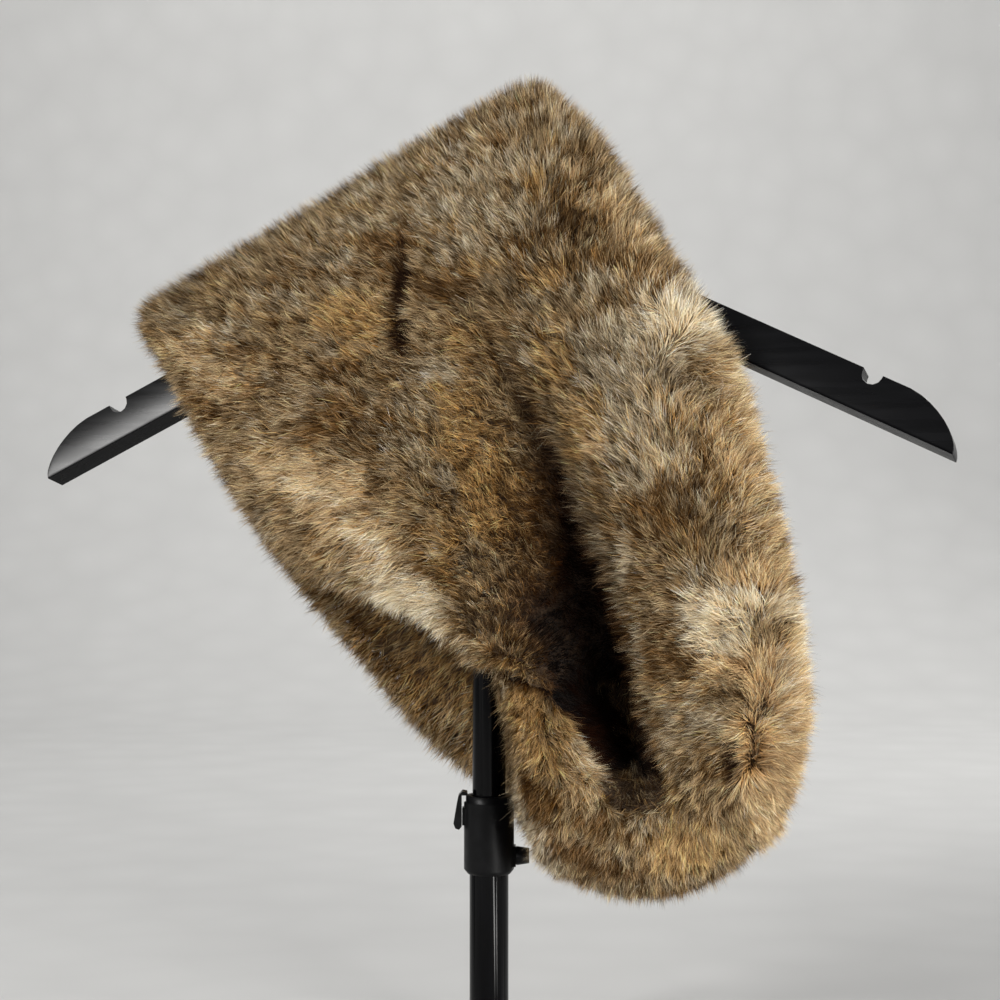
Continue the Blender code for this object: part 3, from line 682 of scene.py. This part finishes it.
@dataclass(frozen=True)
class ClothFinish:
    """A knitted backing cloth: name, colours, and the spacing of its wales in mm."""

    name: str
    colour: str
    light_colour: str
    wale: float

    def material(self) -> None:
        """Makes the material."""
        tree, shader = new_material(self.name)
        place = add_node(tree, "ShaderNodeTexCoord").outputs["Object"]
        loops = add_node(
            tree, "ShaderNodeTexVoronoi", Vector=place, Scale=1.0 / (self.wale * MM)
        ).outputs["Distance"]
        bump = add_node(
            tree, "ShaderNodeBump", Height=loops, Distance=LOOP_DEPTH * MM, Strength=LOOP_STRENGTH
        )
        colour = two_colours(tree, (self.colour, self.light_colour), loops)
        set_inputs(shader, Base_Color=colour, Roughness=MATT, Normal=bump.outputs[0])


# Brown knitted backing: matt loops that show only as the dark between the roots.
KNITTED_BACKING = ClothFinish("knitted_backing", "#2e2115", "#4b3826", 1.4)
# Pale matt paper of the studio.
PALE_PAPER = ClothFinish("pale_paper", "#cfcfce", "#c9c9c8", 60.0)


# ---------------------------------------------------------------- fur
@dataclass
class Skin:
    """A fur stretch's faces, as triangles whose corners are known at the tips and roots."""

    tips: Array
    roots: Array
    normals: Array
    corners: Array
    shut_in: Array
    outer: Array

    def area(self, chosen: Array) -> Array:
        """Area of each face in square mm, times a weight for each."""
        a, b, c = (self.tips[self.corners[:, i]] for i in range(3))
        return np.linalg.norm(np.cross(b - a, c - a), axis=1) / 2 * chosen

    def spots(self, chosen: Array, count: int, rng: Generator) -> "Spots":
        """Places spread evenly over some of the faces.

        Args:
            chosen: a weight for each face.
            count: how many places.
            rng: the random numbers.

        Returns:
            The places, in no order.
        """
        area = self.area(chosen)
        edges = np.cumsum(area) / area.sum()
        face = np.searchsorted(edges, (np.arange(count) + rng.random(count)) / count)
        face = rng.permutation(np.minimum(face, len(edges) - 1))
        u, v = np.sqrt(rng.random(count)), rng.random(count)
        share = np.stack([1 - u, u * (1 - v), u * v], axis=1)[..., None]
        tip, root, normal, shut_in = (
            (data[self.corners[face]] * share).sum(axis=1)
            for data in (self.tips, self.roots, self.normals, self.shut_in[:, None])
        )
        return Spots(tip, root, unit(normal), shut_in[:, 0], self.outer[face])


class Spots(NamedTuple):
    """Places on a fur stretch: where hairs end and start, the way out, how shut in each
    place is, from 0 to 1, and whether it is on the loop's outer face."""

    tip: Array
    root: Array
    normal: Array
    shut_in: Array
    outer: Array

    def rim(self) -> Array:
        """From 0, on an open face, to 1, where the wrap turns away from the front."""
        return ramp(np.abs(self.normal[:, 1]), *RIM_TURN)

    def beside_pole(self) -> Array:
        """How nearly each place lies on the roll's edge that passes in front of the pole.

        Returns:
            From 0, elsewhere, to 1, on the edge.
        """
        x, y, z = self.tip.T
        low = ramp(z, *EDGE_UNDER) * ramp(y, *EDGE_BEFORE)
        return low * ramp(x, *EDGE_LEFT) * ramp(self.normal[:, 0], *EDGE_TURN)


@dataclass
class FurLoop:
    """The whole loop: its solids' meshes, used to keep the tips at the solids' faces."""

    trees: dict[str, BVHTree]
    whole: BVHTree

    @classmethod
    def of_nodes(cls, names: list[str]) -> "FurLoop":
        """Reads the fur solids.

        Args:
            names: their nodes.

        Returns:
            The loop.
        """
        trees, spots, faces = {}, [], []
        for name in names:
            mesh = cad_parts[name].data
            here = [Vector(v.co) / MM for v in mesh.vertices]
            corners = [tuple(p.vertices) for p in mesh.polygons]
            trees[name] = BVHTree.FromPolygons(here, corners)
            faces += [tuple(i + len(spots) for i in corner) for corner in corners]
            spots += here
        return cls(trees, BVHTree.FromPolygons(spots, faces))

    def shut_in(self, spot: Array, normal: Array) -> float:
        """How much of what a place looks at is fur, as deep in a fold.

        Args:
            spot: the place, mm.
            normal: the way out of the pile.

        Returns:
            From 0, open, to 1, shut in.
        """
        start = Vector(spot) + Vector(normal) * LOOK_START
        hits = total = 0.0
        for way in LOOKS:
            weight = way.dot(Vector(normal))
            if weight > LOOK_RISE:
                total += weight
                if self.whole.ray_cast(start, way, LOOK_REACH)[0] is not None:
                    hits += weight
        return hits / total

    def pull_in(self, points: Array, proud: Array) -> Array:
        """Moves points that stand too far out back towards the loop's faces.

        Args:
            points: places, mm.
            proud: how far out each may be.

        Returns:
            The moved places.
        """
        moved = points.copy()
        for index, point in enumerate(points):
            near, normal, _, away = self.whole.find_nearest(Vector(point))
            if away > proud[index] and (Vector(point) - near).dot(normal) > 0:
                moved[index] = near + (Vector(point) - near) * (proud[index] / away)
        return moved


def ring_core(points: Array) -> Array:
    """The nearest places in the middle of the loop's hollow.

    Args:
        points: places, mm.

    Returns:
        A place in the hollow for each.
    """
    x, z = points[:, 0], points[:, 2]
    slope = np.where(x < PEAK[0], *PEAK_SLOPES)
    top = PEAK[1] + (x - PEAK[0]) * slope - HOLLOW_DROP
    bottom = HOLLOW_FLOOR + np.clip(FLOOR_TURN - x, 0, None)
    height = np.clip(z, np.minimum(bottom, top - 1), top)
    return np.stack([x, HOLLOW_SLANT[0] * (x + HOLLOW_SLANT[1]), height], axis=1)


@dataclass
class FurStretch:
    """One stretch of the loop: its node, its length along the loop, which is not used, and its
    pile.

    outside and inside are the triangles of the pile on the loop's outer and inner faces,
    and rests_on, which is not used, names what the stretch hangs from.
    """

    node: str
    length: float
    outside: int
    inside: int
    seed: int
    rests_on: tuple[str, ...]

    def skin(self, loop: FurLoop) -> Skin:
        """Reads the node's faces without the ends that lie in its seams.

        Args:
            loop: the whole loop.

        Returns:
            The skin.
        """
        work = bmesh.new()
        work.from_mesh(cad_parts[self.node].data)
        bmesh.ops.scale(work, vec=(1 / MM,) * 3, verts=work.verts)
        bmesh.ops.remove_doubles(work, verts=work.verts, dist=WELD)
        bmesh.ops.triangulate(work, faces=work.faces)
        others = [tree for name, tree in loop.trees.items() if name != self.node]
        ends = [face for face in work.faces if self.in_seam(face, others)]
        bmesh.ops.delete(work, geom=ends, context="FACES")
        work.normal_update()
        work.verts.ensure_lookup_table()
        whole = loop.trees[self.node]
        wall = np.array([self.wall_thickness(v.co, v.normal, whole) for v in work.verts])
        depth = np.minimum(PILE_DEPTH, PILE_SHARE * wall)
        for _ in range(SMOOTHINGS):
            around = [
                np.mean([depth[e.other_vert(vert).index] for e in vert.link_edges])
                for vert in work.verts
            ]
            depth = np.minimum(depth, (depth + np.array(around)) / 2)
        tips = np.array([vert.co for vert in work.verts])
        normals = np.array([vert.normal for vert in work.verts])
        corners = np.array([[vert.index for vert in face.verts] for face in work.faces])
        middles = tips[corners].mean(axis=1)
        outward = np.array([face.normal for face in work.faces])
        across = np.array([self.wall_thickness(m, n, whole) for m, n in zip(middles, outward)])
        behind = middles - outward * across[:, None]
        reach = np.linalg.norm(middles - ring_core(middles), axis=1)
        reach_behind = np.linalg.norm(behind - ring_core(behind), axis=1)
        work.free()
        roots = tips - normals * depth[:, None]
        shut_in = np.array([loop.shut_in(tip, normal) for tip, normal in zip(tips, normals)])
        return Skin(tips, roots, normals, corners, shut_in, reach > reach_behind)

    @staticmethod
    def in_seam(face: BMFace, others: list[BVHTree]) -> bool:
        """Whether a face looks straight at the next stretch.

        Args:
            face: the face.
            others: the other stretches.

        Returns:
            True for a face that is hidden in a seam.
        """
        middle = face.calc_center_median()
        for tree in others:
            near, _, _, away = tree.find_nearest(middle, SEAM_REACH)
            if near is not None and (near - middle).dot(face.normal) > SEAM_FACING * away:
                return True
        return False

    @staticmethod
    def wall_thickness(spot: Sequence, normal: Sequence, whole: BVHTree) -> float:
        """Thickness of the wall behind a place.

        Args:
            spot: the place, mm.
            normal: the way out.
            whole: the closed solid.

        Returns:
            The thickness, mm.
        """
        start = Vector(spot) - Vector(normal) * SKIM
        away = whole.ray_cast(start, -Vector(normal), THICKEST)[3]
        return THICKEST if away is None else away + SKIM

    def cloth(self, skin: Skin) -> Object:
        """The backing cloth under the pile, a thin folded shell.

        Args:
            skin: the stretch's faces.

        Returns:
            The piece.
        """
        mesh = bpy.data.meshes.new(f"{self.node}_cloth")
        mesh.from_pydata((skin.roots * MM).tolist(), [], skin.corners.tolist())
        mesh.validate()
        piece = new_piece(mesh, KNITTED_BACKING.name)
        thick = piece.modifiers.new("thickness", "SOLIDIFY")
        thick.thickness = CLOTH_THICKNESS * MM
        thick.offset = -1.0
        mesh.shade_smooth()
        return piece

    def pile(
        self, label: str, skin: Skin, loop: FurLoop, chosen: Array, triangles: int, seed: int
    ) -> Object:
        """The pile over some of the faces: long strands from the cloth, fine hairs between.

        Args:
            label: the piece's name.
            skin: the stretch's faces.
            loop: the whole loop.
            chosen: how dense the pile is on each face.
            triangles: the number of triangles.
            seed: the random numbers' seed.

        Returns:
            The piece.
        """
        rng = np.random.default_rng(seed)
        long_count = int(triangles * LONG_SHARE / 3)
        spots = skin.spots(chosen, long_count + int(triangles * (1 - LONG_SHARE)), rng)
        count = len(spots.tip)
        tuft = self.tufts(spots.tip, int(skin.area(chosen).sum() / TUFT_AREA), rng)
        lie = self.lie(spots, tuft, rng)
        rim = spots.rim()
        stray = (STRAY + RIM_STRAY * rim) * rng.random(count) ** STRAY_POWER
        by_tuft = rng.normal(size=count)[tuft]
        uneven = ripples(spots.tip, LIFT_WAVES) + (TUFT_LIFT + rim) * by_tuft
        crest = CREST * ramp(spots.normal[:, 2], *CREST_UP) * spots.outer
        crest *= ramp(spots.normal[:, 1], *CREST_FRONT)
        change = crest + uneven + stray - PRESSED * spots.beside_pole()
        lift = np.clip(LIFT + RIM_LIFT * rim + change, LEAST_LIFT, MOST_LIFT)
        over = spots.tip + lie + spots.normal * lift[:, None]
        over += (over[tuft] - over) * (TUFT_PULL * rng.random((count, 1)))
        long = ramp(np.linalg.norm(lie, axis=1), *LONG_LIE)
        proud = np.clip(lift + PROUD + LONG_PROUD * long, LEAST_PROUD, MOST_LIFT)
        over = loop.pull_in(over, proud)
        over -= spots.normal * (SHORTER * rng.random((count, 1)) ** SHORT_POWER)
        knee = KNEE_ROOT * spots.root + KNEE_TIP * spots.tip + KNEE_OVER * over
        knee += rng.normal(scale=KNEE_SCATTER, size=knee.shape)
        strands, hairs = self.blades(spots, knee, over, long_count, rng)
        colours = self.colours(spots, tuft, rng)
        strand_colours = colours[:long_count, [0, 0, 1, 1, 2]]
        half_up = colours[long_count:, 0] * (1 - HALF_UP) + colours[long_count:, 1] * HALF_UP
        hair_colours = np.stack([half_up, half_up, colours[long_count:, 2]], axis=1)
        return blade_piece(label, strands, hairs, strand_colours, hair_colours)

    @staticmethod
    def lie(spots: Spots, tuft: Array, rng: Generator) -> Array:
        """How each tip lies from above its root, along the surface.

        Args:
            spots: the places.
            tuft: the middle hair of each hair's tuft.
            rng: the random numbers.

        Returns:
            A vector for each, mm.
        """
        tip, normal = spots.tip, spots.normal
        behind = ramp(normal[:, 1], *BACK_TURN)[:, None]
        front, back, inside = (lie_of_pile(flow, tip) for flow in FLOWS)
        way = np.where(spots.outer[:, None], front * (1 - behind) + back * behind, inside)
        angle = np.arctan2(way[:, 1], way[:, 0])
        angle += ripples(tip, SWIRLS)
        angle += radians(TUFT_TURN) * rng.normal(size=len(tip))[tuft]
        angle += radians(HAIR_TURN) * rng.normal(size=len(tip))
        lean = way[:, 2] * (1.0 + ripples(tip, LEAN_WAVES)) * rng.uniform(*LEAN_SPREAD, len(tip))
        flat = np.stack([np.cos(angle), np.zeros_like(angle), np.sin(angle)], axis=1)
        along = flat - normal * (flat * normal).sum(axis=1, keepdims=True)
        return along * lean[:, None] + rng.normal(scale=TIP_SCATTER, size=tip.shape)

    @staticmethod
    def tufts(tip: Array, count: int, rng: Generator) -> Array:
        """Gathers the hairs into tufts.

        Args:
            tip: places on the solid's face.
            count: the number of tufts.
            rng: the random numbers.

        Returns:
            For each hair the one at the middle of its tuft.
        """
        middles = rng.choice(len(tip), count, replace=False)
        near = KDTree(len(middles))
        for index in middles:
            near.insert(tip[index], int(index))
        near.balance()
        return np.array([near.find(spot)[1] for spot in tip])

    @staticmethod
    def blades(
        spots: Spots, knee: Array, over: Array, long_count: int, rng: Generator
    ) -> tuple[Array, Array]:
        """The corners of each blade.

        Args:
            spots: the places.
            knee: where each hair bends.
            over: where it ends.
            long_count: how many of them are long strands.
            rng: the random numbers.

        Returns:
            Five corners of each long strand and three of each fine hair, mm.
        """
        start = knee * HAIR_START * 2 + spots.root * (1 - HAIR_START * 2)
        start[:long_count] = spots.root[:long_count]
        along = unit(over - start)
        side = unit(np.cross(along, spots.normal) + 1e-6)
        rise = np.cross(side, along)
        roll = np.radians(rng.uniform(-ROLL_SPREAD, ROLL_SPREAD, len(start)))[:, None]
        side = side * np.cos(roll) + rise * np.sin(roll)
        width = np.where(np.arange(len(start)) < long_count, STRAND_WIDTH, HAIR_WIDTH)
        half = side * (width / 2 * rng.uniform(*WIDTH_SPREAD, len(start)))[:, None]
        low, high = start - half, start + half
        long = slice(0, long_count)
        strands = [low[long], high[long], (knee - half)[long], (knee + half)[long], over[long]]
        fine = slice(long_count, None)
        return np.stack(strands, axis=1), np.stack([low[fine], high[fine], over[fine]], axis=1)

    @staticmethod
    def colours(spots: Spots, tuft: Array, rng: Generator) -> Array:
        """Colours at the root, body and tip of each hair, with painted shade deep in the folds.

        Args:
            spots: the places.
            tuft: the middle hair of each hair's tuft.
            rng: the random numbers.

        Returns:
            Linear colours with alpha.
        """
        tip = spots.tip
        count = len(tip)
        front, back, inside = (tone_weights(patches, tip) for patches in PATCHES)
        is_front = (spots.normal[:, 1] < FRONT_TONES)[:, None]
        weight = np.where(spots.outer[:, None], np.where(is_front, front, back), inside)
        limits = np.cumsum(weight**TONE_EDGE, axis=1)
        limits /= limits[:, -1:]
        mottle = ripples(tip, MOTTLE) + TUFT_TONE * rng.normal(size=count)[tuft]
        mottle += HAIR_TONE * rng.normal(size=count)
        dice = 1.0 / (1.0 + np.exp(-TONE_STEEP * mottle))
        shade = rng.random(count)
        with_tuft = rng.random(count) < TUFT_DARK_SHARE
        kind = np.minimum((limits < dice[:, None]).sum(axis=1), len(Tones) - 1)
        table = np.array([[linear(code) for code in tone.value[:3]] for tone in Tones])
        dark_share = np.array([tone.value.dark_share for tone in Tones])
        three = table[kind]
        dark = np.where(with_tuft, shade[tuft], shade) < dark_share[kind]
        three[dark, 2] = linear(DARK_TIP)
        bright = HAIR_BRIGHT * rng.normal(size=count)
        bright += TUFT_BRIGHT * rng.normal(size=count)[tuft]
        bright = np.exp(bright + ripples(tip, BRIGHT_WAVES) - BRIGHT_SHIFT)
        # painted shade: strands deep in a fold darken towards black, least in red
        deep = ramp(spots.shut_in, *FOLD_SHADE) * spots.outer
        painted_shade = (1.0 - FOLD_SHADE_STRENGTH * deep)[:, None] ** np.array(FOLD_SHADE_POWERS)
        three = np.clip(three * (bright[:, None] * painted_shade)[:, None, :], 0.0, 1.0)
        return np.concatenate([three, np.ones((count, 3, 1))], axis=2)

    def build(self, loop: FurLoop) -> None:
        """Makes the cloth and its strands, which replace the node.

        Args:
            loop: the whole loop.
        """
        skin = self.skin(loop)
        cloth = self.cloth(skin)
        outside = skin.outer.astype(float)
        hairs = [
            self.pile(f"{self.node}_pile", skin, loop, outside, self.outside, self.seed),
            self.pile(f"{self.node}_pile_in", skin, loop, 1 - outside, self.inside, self.seed + 1),
        ]
        for piece in (cloth, *hairs):
            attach(piece, "root")
            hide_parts(self.node)


def blade_piece(
    label: str,
    strands: Array,
    hairs: Array,
    strand_colours: Array,
    hair_colours: Array,
) -> Object:
    """Joins blades into one mesh.

    Args:
        label: the piece's name.
        strands: five corners for each long strand, mm.
        hairs: three corners for each fine hair, mm.
        strand_colours: a colour for each corner of the strands.
        hair_colours: a colour for each corner of the hairs.

    Returns:
        The piece.
    """
    # A strand is a foot with four sides and a tip with three, on five corners.
    first = len(strands) * 5
    order = np.arange(len(strands))[:, None] * 5 + np.array([0, 1, 3, 2, 2, 3, 4])
    fine = np.arange(len(hairs))[:, None] * 3 + first + np.arange(3)
    loops = np.concatenate([order.ravel(), fine.ravel()]).astype(np.int32)
    starts = np.arange(len(strands))[:, None] * 7 + np.array([0, 4])
    fine_starts = len(strands) * 7 + np.arange(len(hairs)) * 3
    starts = np.concatenate([starts.ravel(), fine_starts]).astype(np.int32)
    spots = np.concatenate([strands.reshape(-1, 3), hairs.reshape(-1, 3)]) * MM
    colours = np.concatenate([strand_colours.reshape(-1, 4), hair_colours.reshape(-1, 4)])
    mesh = bpy.data.meshes.new(label)
    mesh.vertices.add(len(spots))
    mesh.vertices.foreach_set("co", spots.astype(np.float32).ravel())
    mesh.loops.add(len(loops))
    mesh.loops.foreach_set("vertex_index", loops)
    mesh.polygons.add(len(starts))
    mesh.polygons.foreach_set("loop_start", starts)
    mesh.update(calc_edges=True)
    layer = mesh.color_attributes.new("pile", "FLOAT_COLOR", "POINT")
    layer.data.foreach_set("color", colours.astype(np.float32).ravel())
    mesh.shade_smooth()
    return new_piece(mesh, SILKY_PILE.name)


@dataclass
class FurWrap:
    """The wrap: four stretches of one loop."""

    stretches: tuple[FurStretch, ...]

    def build(self) -> None:
        """Makes every stretch."""
        SILKY_PILE.material()
        KNITTED_BACKING.material()
        loop = FurLoop.of_nodes([stretch.node for stretch in self.stretches])
        for stretch in self.stretches:
            stretch.build(loop)


# ---------------------------------------------------------------- hanger and pole
@dataclass
class HardPiece:
    """One hard solid of the hanger, the pole or its clamp, shaded smooth where it is round."""

    node: str
    finish: HardFinish
    slot: str
    place: Matrix

    def build(self) -> None:
        """Makes the welded copy that stands for the solid."""
        work = bmesh.new()
        work.from_mesh(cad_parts[self.node].data)
        bmesh.ops.remove_doubles(work, verts=work.verts, dist=WELD * MM)
        bmesh.ops.transform(work, matrix=self.place.inverted(), verts=work.verts)
        mesh = bpy.data.meshes.new(f"{self.node}_finished")
        work.to_mesh(mesh)
        work.free()
        mesh.shade_smooth()
        mesh.set_sharp_from_angle(angle=radians(SMOOTH_BELOW))
        piece = new_piece(mesh, self.finish.name)
        piece.matrix_world = self.place
        flat = piece.modifiers.new("flat_faces", "WEIGHTED_NORMAL")
        flat.weight = FACE_WEIGHT
        flat.keep_sharp = True
        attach(piece, "root")
        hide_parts(self.node)


@dataclass
class HardParts:
    """The hanger, the pole and its clamp: solids that keep their shape."""

    pieces: tuple[HardPiece, ...]

    def build(self) -> None:
        """Makes each piece and the washer between the clamp and its knob."""
        for finish in {piece.finish for piece in self.pieces}:
            finish.material()
        for piece in self.pieces:
            piece.build()
        self.washer()

    @staticmethod
    def washer() -> None:
        """The thin washer that closes the gap behind the knob."""
        work = bmesh.new()
        bmesh.ops.create_cone(
            work,
            cap_ends=True,
            segments=WASHER_SIDES,
            radius1=WASHER_RADIUS * MM,
            radius2=WASHER_RADIUS * MM,
            depth=WASHER_THICKNESS * MM,
            matrix=Matrix.Rotation(pi / 2, 4, "Y"),
        )
        mesh = bpy.data.meshes.new("knob_washer")
        work.to_mesh(mesh)
        work.free()
        mesh.shade_smooth()
        mesh.set_sharp_from_angle(angle=radians(SMOOTH_BELOW))
        piece = new_piece(mesh, MOULDED_NYLON.name)
        piece.location = Vector(KNOB_SEAT) * MM
        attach(piece, "root")


def hanger_place() -> Matrix:
    """The hanger board's own axes: x along its length, z up in its plane.

    Returns:
        Their place in the scene, in metres.
    """
    lean, roll, yaw = (radians(angle) for angle in HANGER_TURN)
    turn = Matrix.Rotation(yaw, 4, "Z") @ Matrix.Rotation(lean, 4, "X")
    return Matrix.Translation(Vector(HANGER_PLACE) * MM) @ turn @ Matrix.Rotation(roll, 4, "Y")


# ---------------------------------------------------------------- studio
class Lamp(NamedTuple):
    """A soft square light: its place and aim in m, side in m, power in W and colour."""

    name: str
    place: tuple[float, float, float]
    aim: tuple[float, float, float]
    side: float
    power: float
    colour: str


@dataclass
class Studio:
    """Camera, lights, floor and backdrop."""

    lamps: tuple[Lamp, ...]
    wall_y: float
    cove: float

    def build(self) -> None:
        """Sets up the whole studio."""
        self.camera()
        for lamp in self.lamps:
            self.light(lamp)
        world = bpy.data.worlds.new("studio")
        world.use_nodes = True
        back = world.node_tree.nodes["Background"]
        set_inputs(back, Color=(*linear(WORLD_COLOUR), 1.0), Strength=WORLD_LIGHT)
        bpy.context.scene.world = world
        bpy.context.scene.view_settings.view_transform = "Standard"
        self.backdrop()

    @staticmethod
    def camera() -> None:
        """A level camera that looks along +Y."""
        data = bpy.data.cameras.new("camera")
        data.lens = CAMERA_LENS
        data.sensor_width = SENSOR
        data.clip_end = SIGHT_M
        eye = bpy.data.objects.new("camera", data)
        eye.location = CAMERA_PLACE_M
        eye.rotation_euler = (radians(90.0), 0.0, 0.0)
        bpy.context.scene.collection.objects.link(eye)
        bpy.context.scene.camera = eye

    @staticmethod
    def light(lamp: Lamp) -> None:
        """One soft light.

        Args:
            lamp: its facts.
        """
        data = bpy.data.lights.new(lamp.name, "AREA")
        data.size = lamp.side
        data.energy = lamp.power
        data.color = linear(lamp.colour)
        thing = bpy.data.objects.new(lamp.name, data)
        thing.location = lamp.place
        aim = Vector(lamp.aim) - Vector(lamp.place)
        thing.rotation_euler = aim.to_track_quat("-Z", "Y").to_euler()
        bpy.context.scene.collection.objects.link(thing)

    def backdrop(self) -> None:
        """Floor and wall in one sheet with a round cove between."""
        profile = [(-PAPER_END_M, 0.0)]
        for step in range(COVE_STEPS + 1):
            angle = pi / 2 * step / COVE_STEPS
            y = self.wall_y - self.cove + self.cove * sin(angle)
            profile.append((y, self.cove * (1 - cos(angle))))
        profile.append((self.wall_y, PAPER_END_M))
        sides = (-PAPER_SIDE_M, PAPER_SIDE_M)
        spots = [(x, y, z - PAPER_DROP_M) for y, z in profile for x in sides]
        faces = [(i, i + 1, i + 3, i + 2) for i in range(0, len(spots) - 2, 2)]
        mesh = bpy.data.meshes.new("backdrop")
        mesh.from_pydata(spots, [], faces)
        mesh.shade_smooth()
        PALE_PAPER.material()
        new_piece(mesh, PALE_PAPER.name)


def main() -> None:
    """Builds the whole scene."""
    logging.basicConfig(level=logging.INFO, format="%(name)s: %(message)s")
    Studio(
        lamps=(
            Lamp("left_softbox", (-1.2, -0.95, 0.88), (0.0, 0.0, 0.27), 0.55, 20.0, "#fffefc"),
            Lamp("right_softbox", (0.85, -1.3, 0.28), (0.10, 0.0, 0.22), 0.6, 25.0, "#fffdfa"),
            Lamp("wall_softbox", (0.0, 1.0, 1.9), (0.0, 2.4, 0.5), 1.4, 20.0, "#fffefc"),
            Lamp("back_softbox", (1.0, 1.3, 1.15), (0.0, 0.0, 0.27), 0.8, 9.0, "#fffefc"),
        ),
        wall_y=2.4,
        cove=1.0,
    ).build()
    FurWrap(
        (
            FurStretch("fur_top_fold", 105.0, 160000, 30000, 11, ("hanger_neck",)),
            FurStretch("fur_front_fall", 205.0, 196000, 34000, 21, ("fur_top_fold_cloth",)),
            FurStretch("fur_bottom_turn", 156.0, 176000, 34000, 31, ("fur_front_fall_cloth",)),
            FurStretch("fur_back_fall", 289.0, 176000, 90000, 41, ("fur_top_fold_cloth",)),
        )
    ).build()
    hanger, pole = hanger_place(), Matrix.Identity(4)
    HardParts(
        (
            HardPiece("hanger_board", LACQUERED_WOOD, "painted_wood", hanger),
            HardPiece("hanger_neck", LACQUERED_WOOD, "painted_wood", hanger),
            HardPiece("pole_upper", ENAMELLED_TUBE, "coated_tube", pole),
            HardPiece("pole_lower", ENAMELLED_TUBE, "coated_tube", pole),
            HardPiece("pole_clamp", MOULDED_NYLON, "clamp_plastic", pole),
            HardPiece("clamp_lever", MOULDED_NYLON, "clamp_plastic", pole),
            HardPiece("clamp_knob", MOULDED_NYLON, "clamp_plastic", pole),
        )
    ).build()


if __name__ == "__main__":
    main()
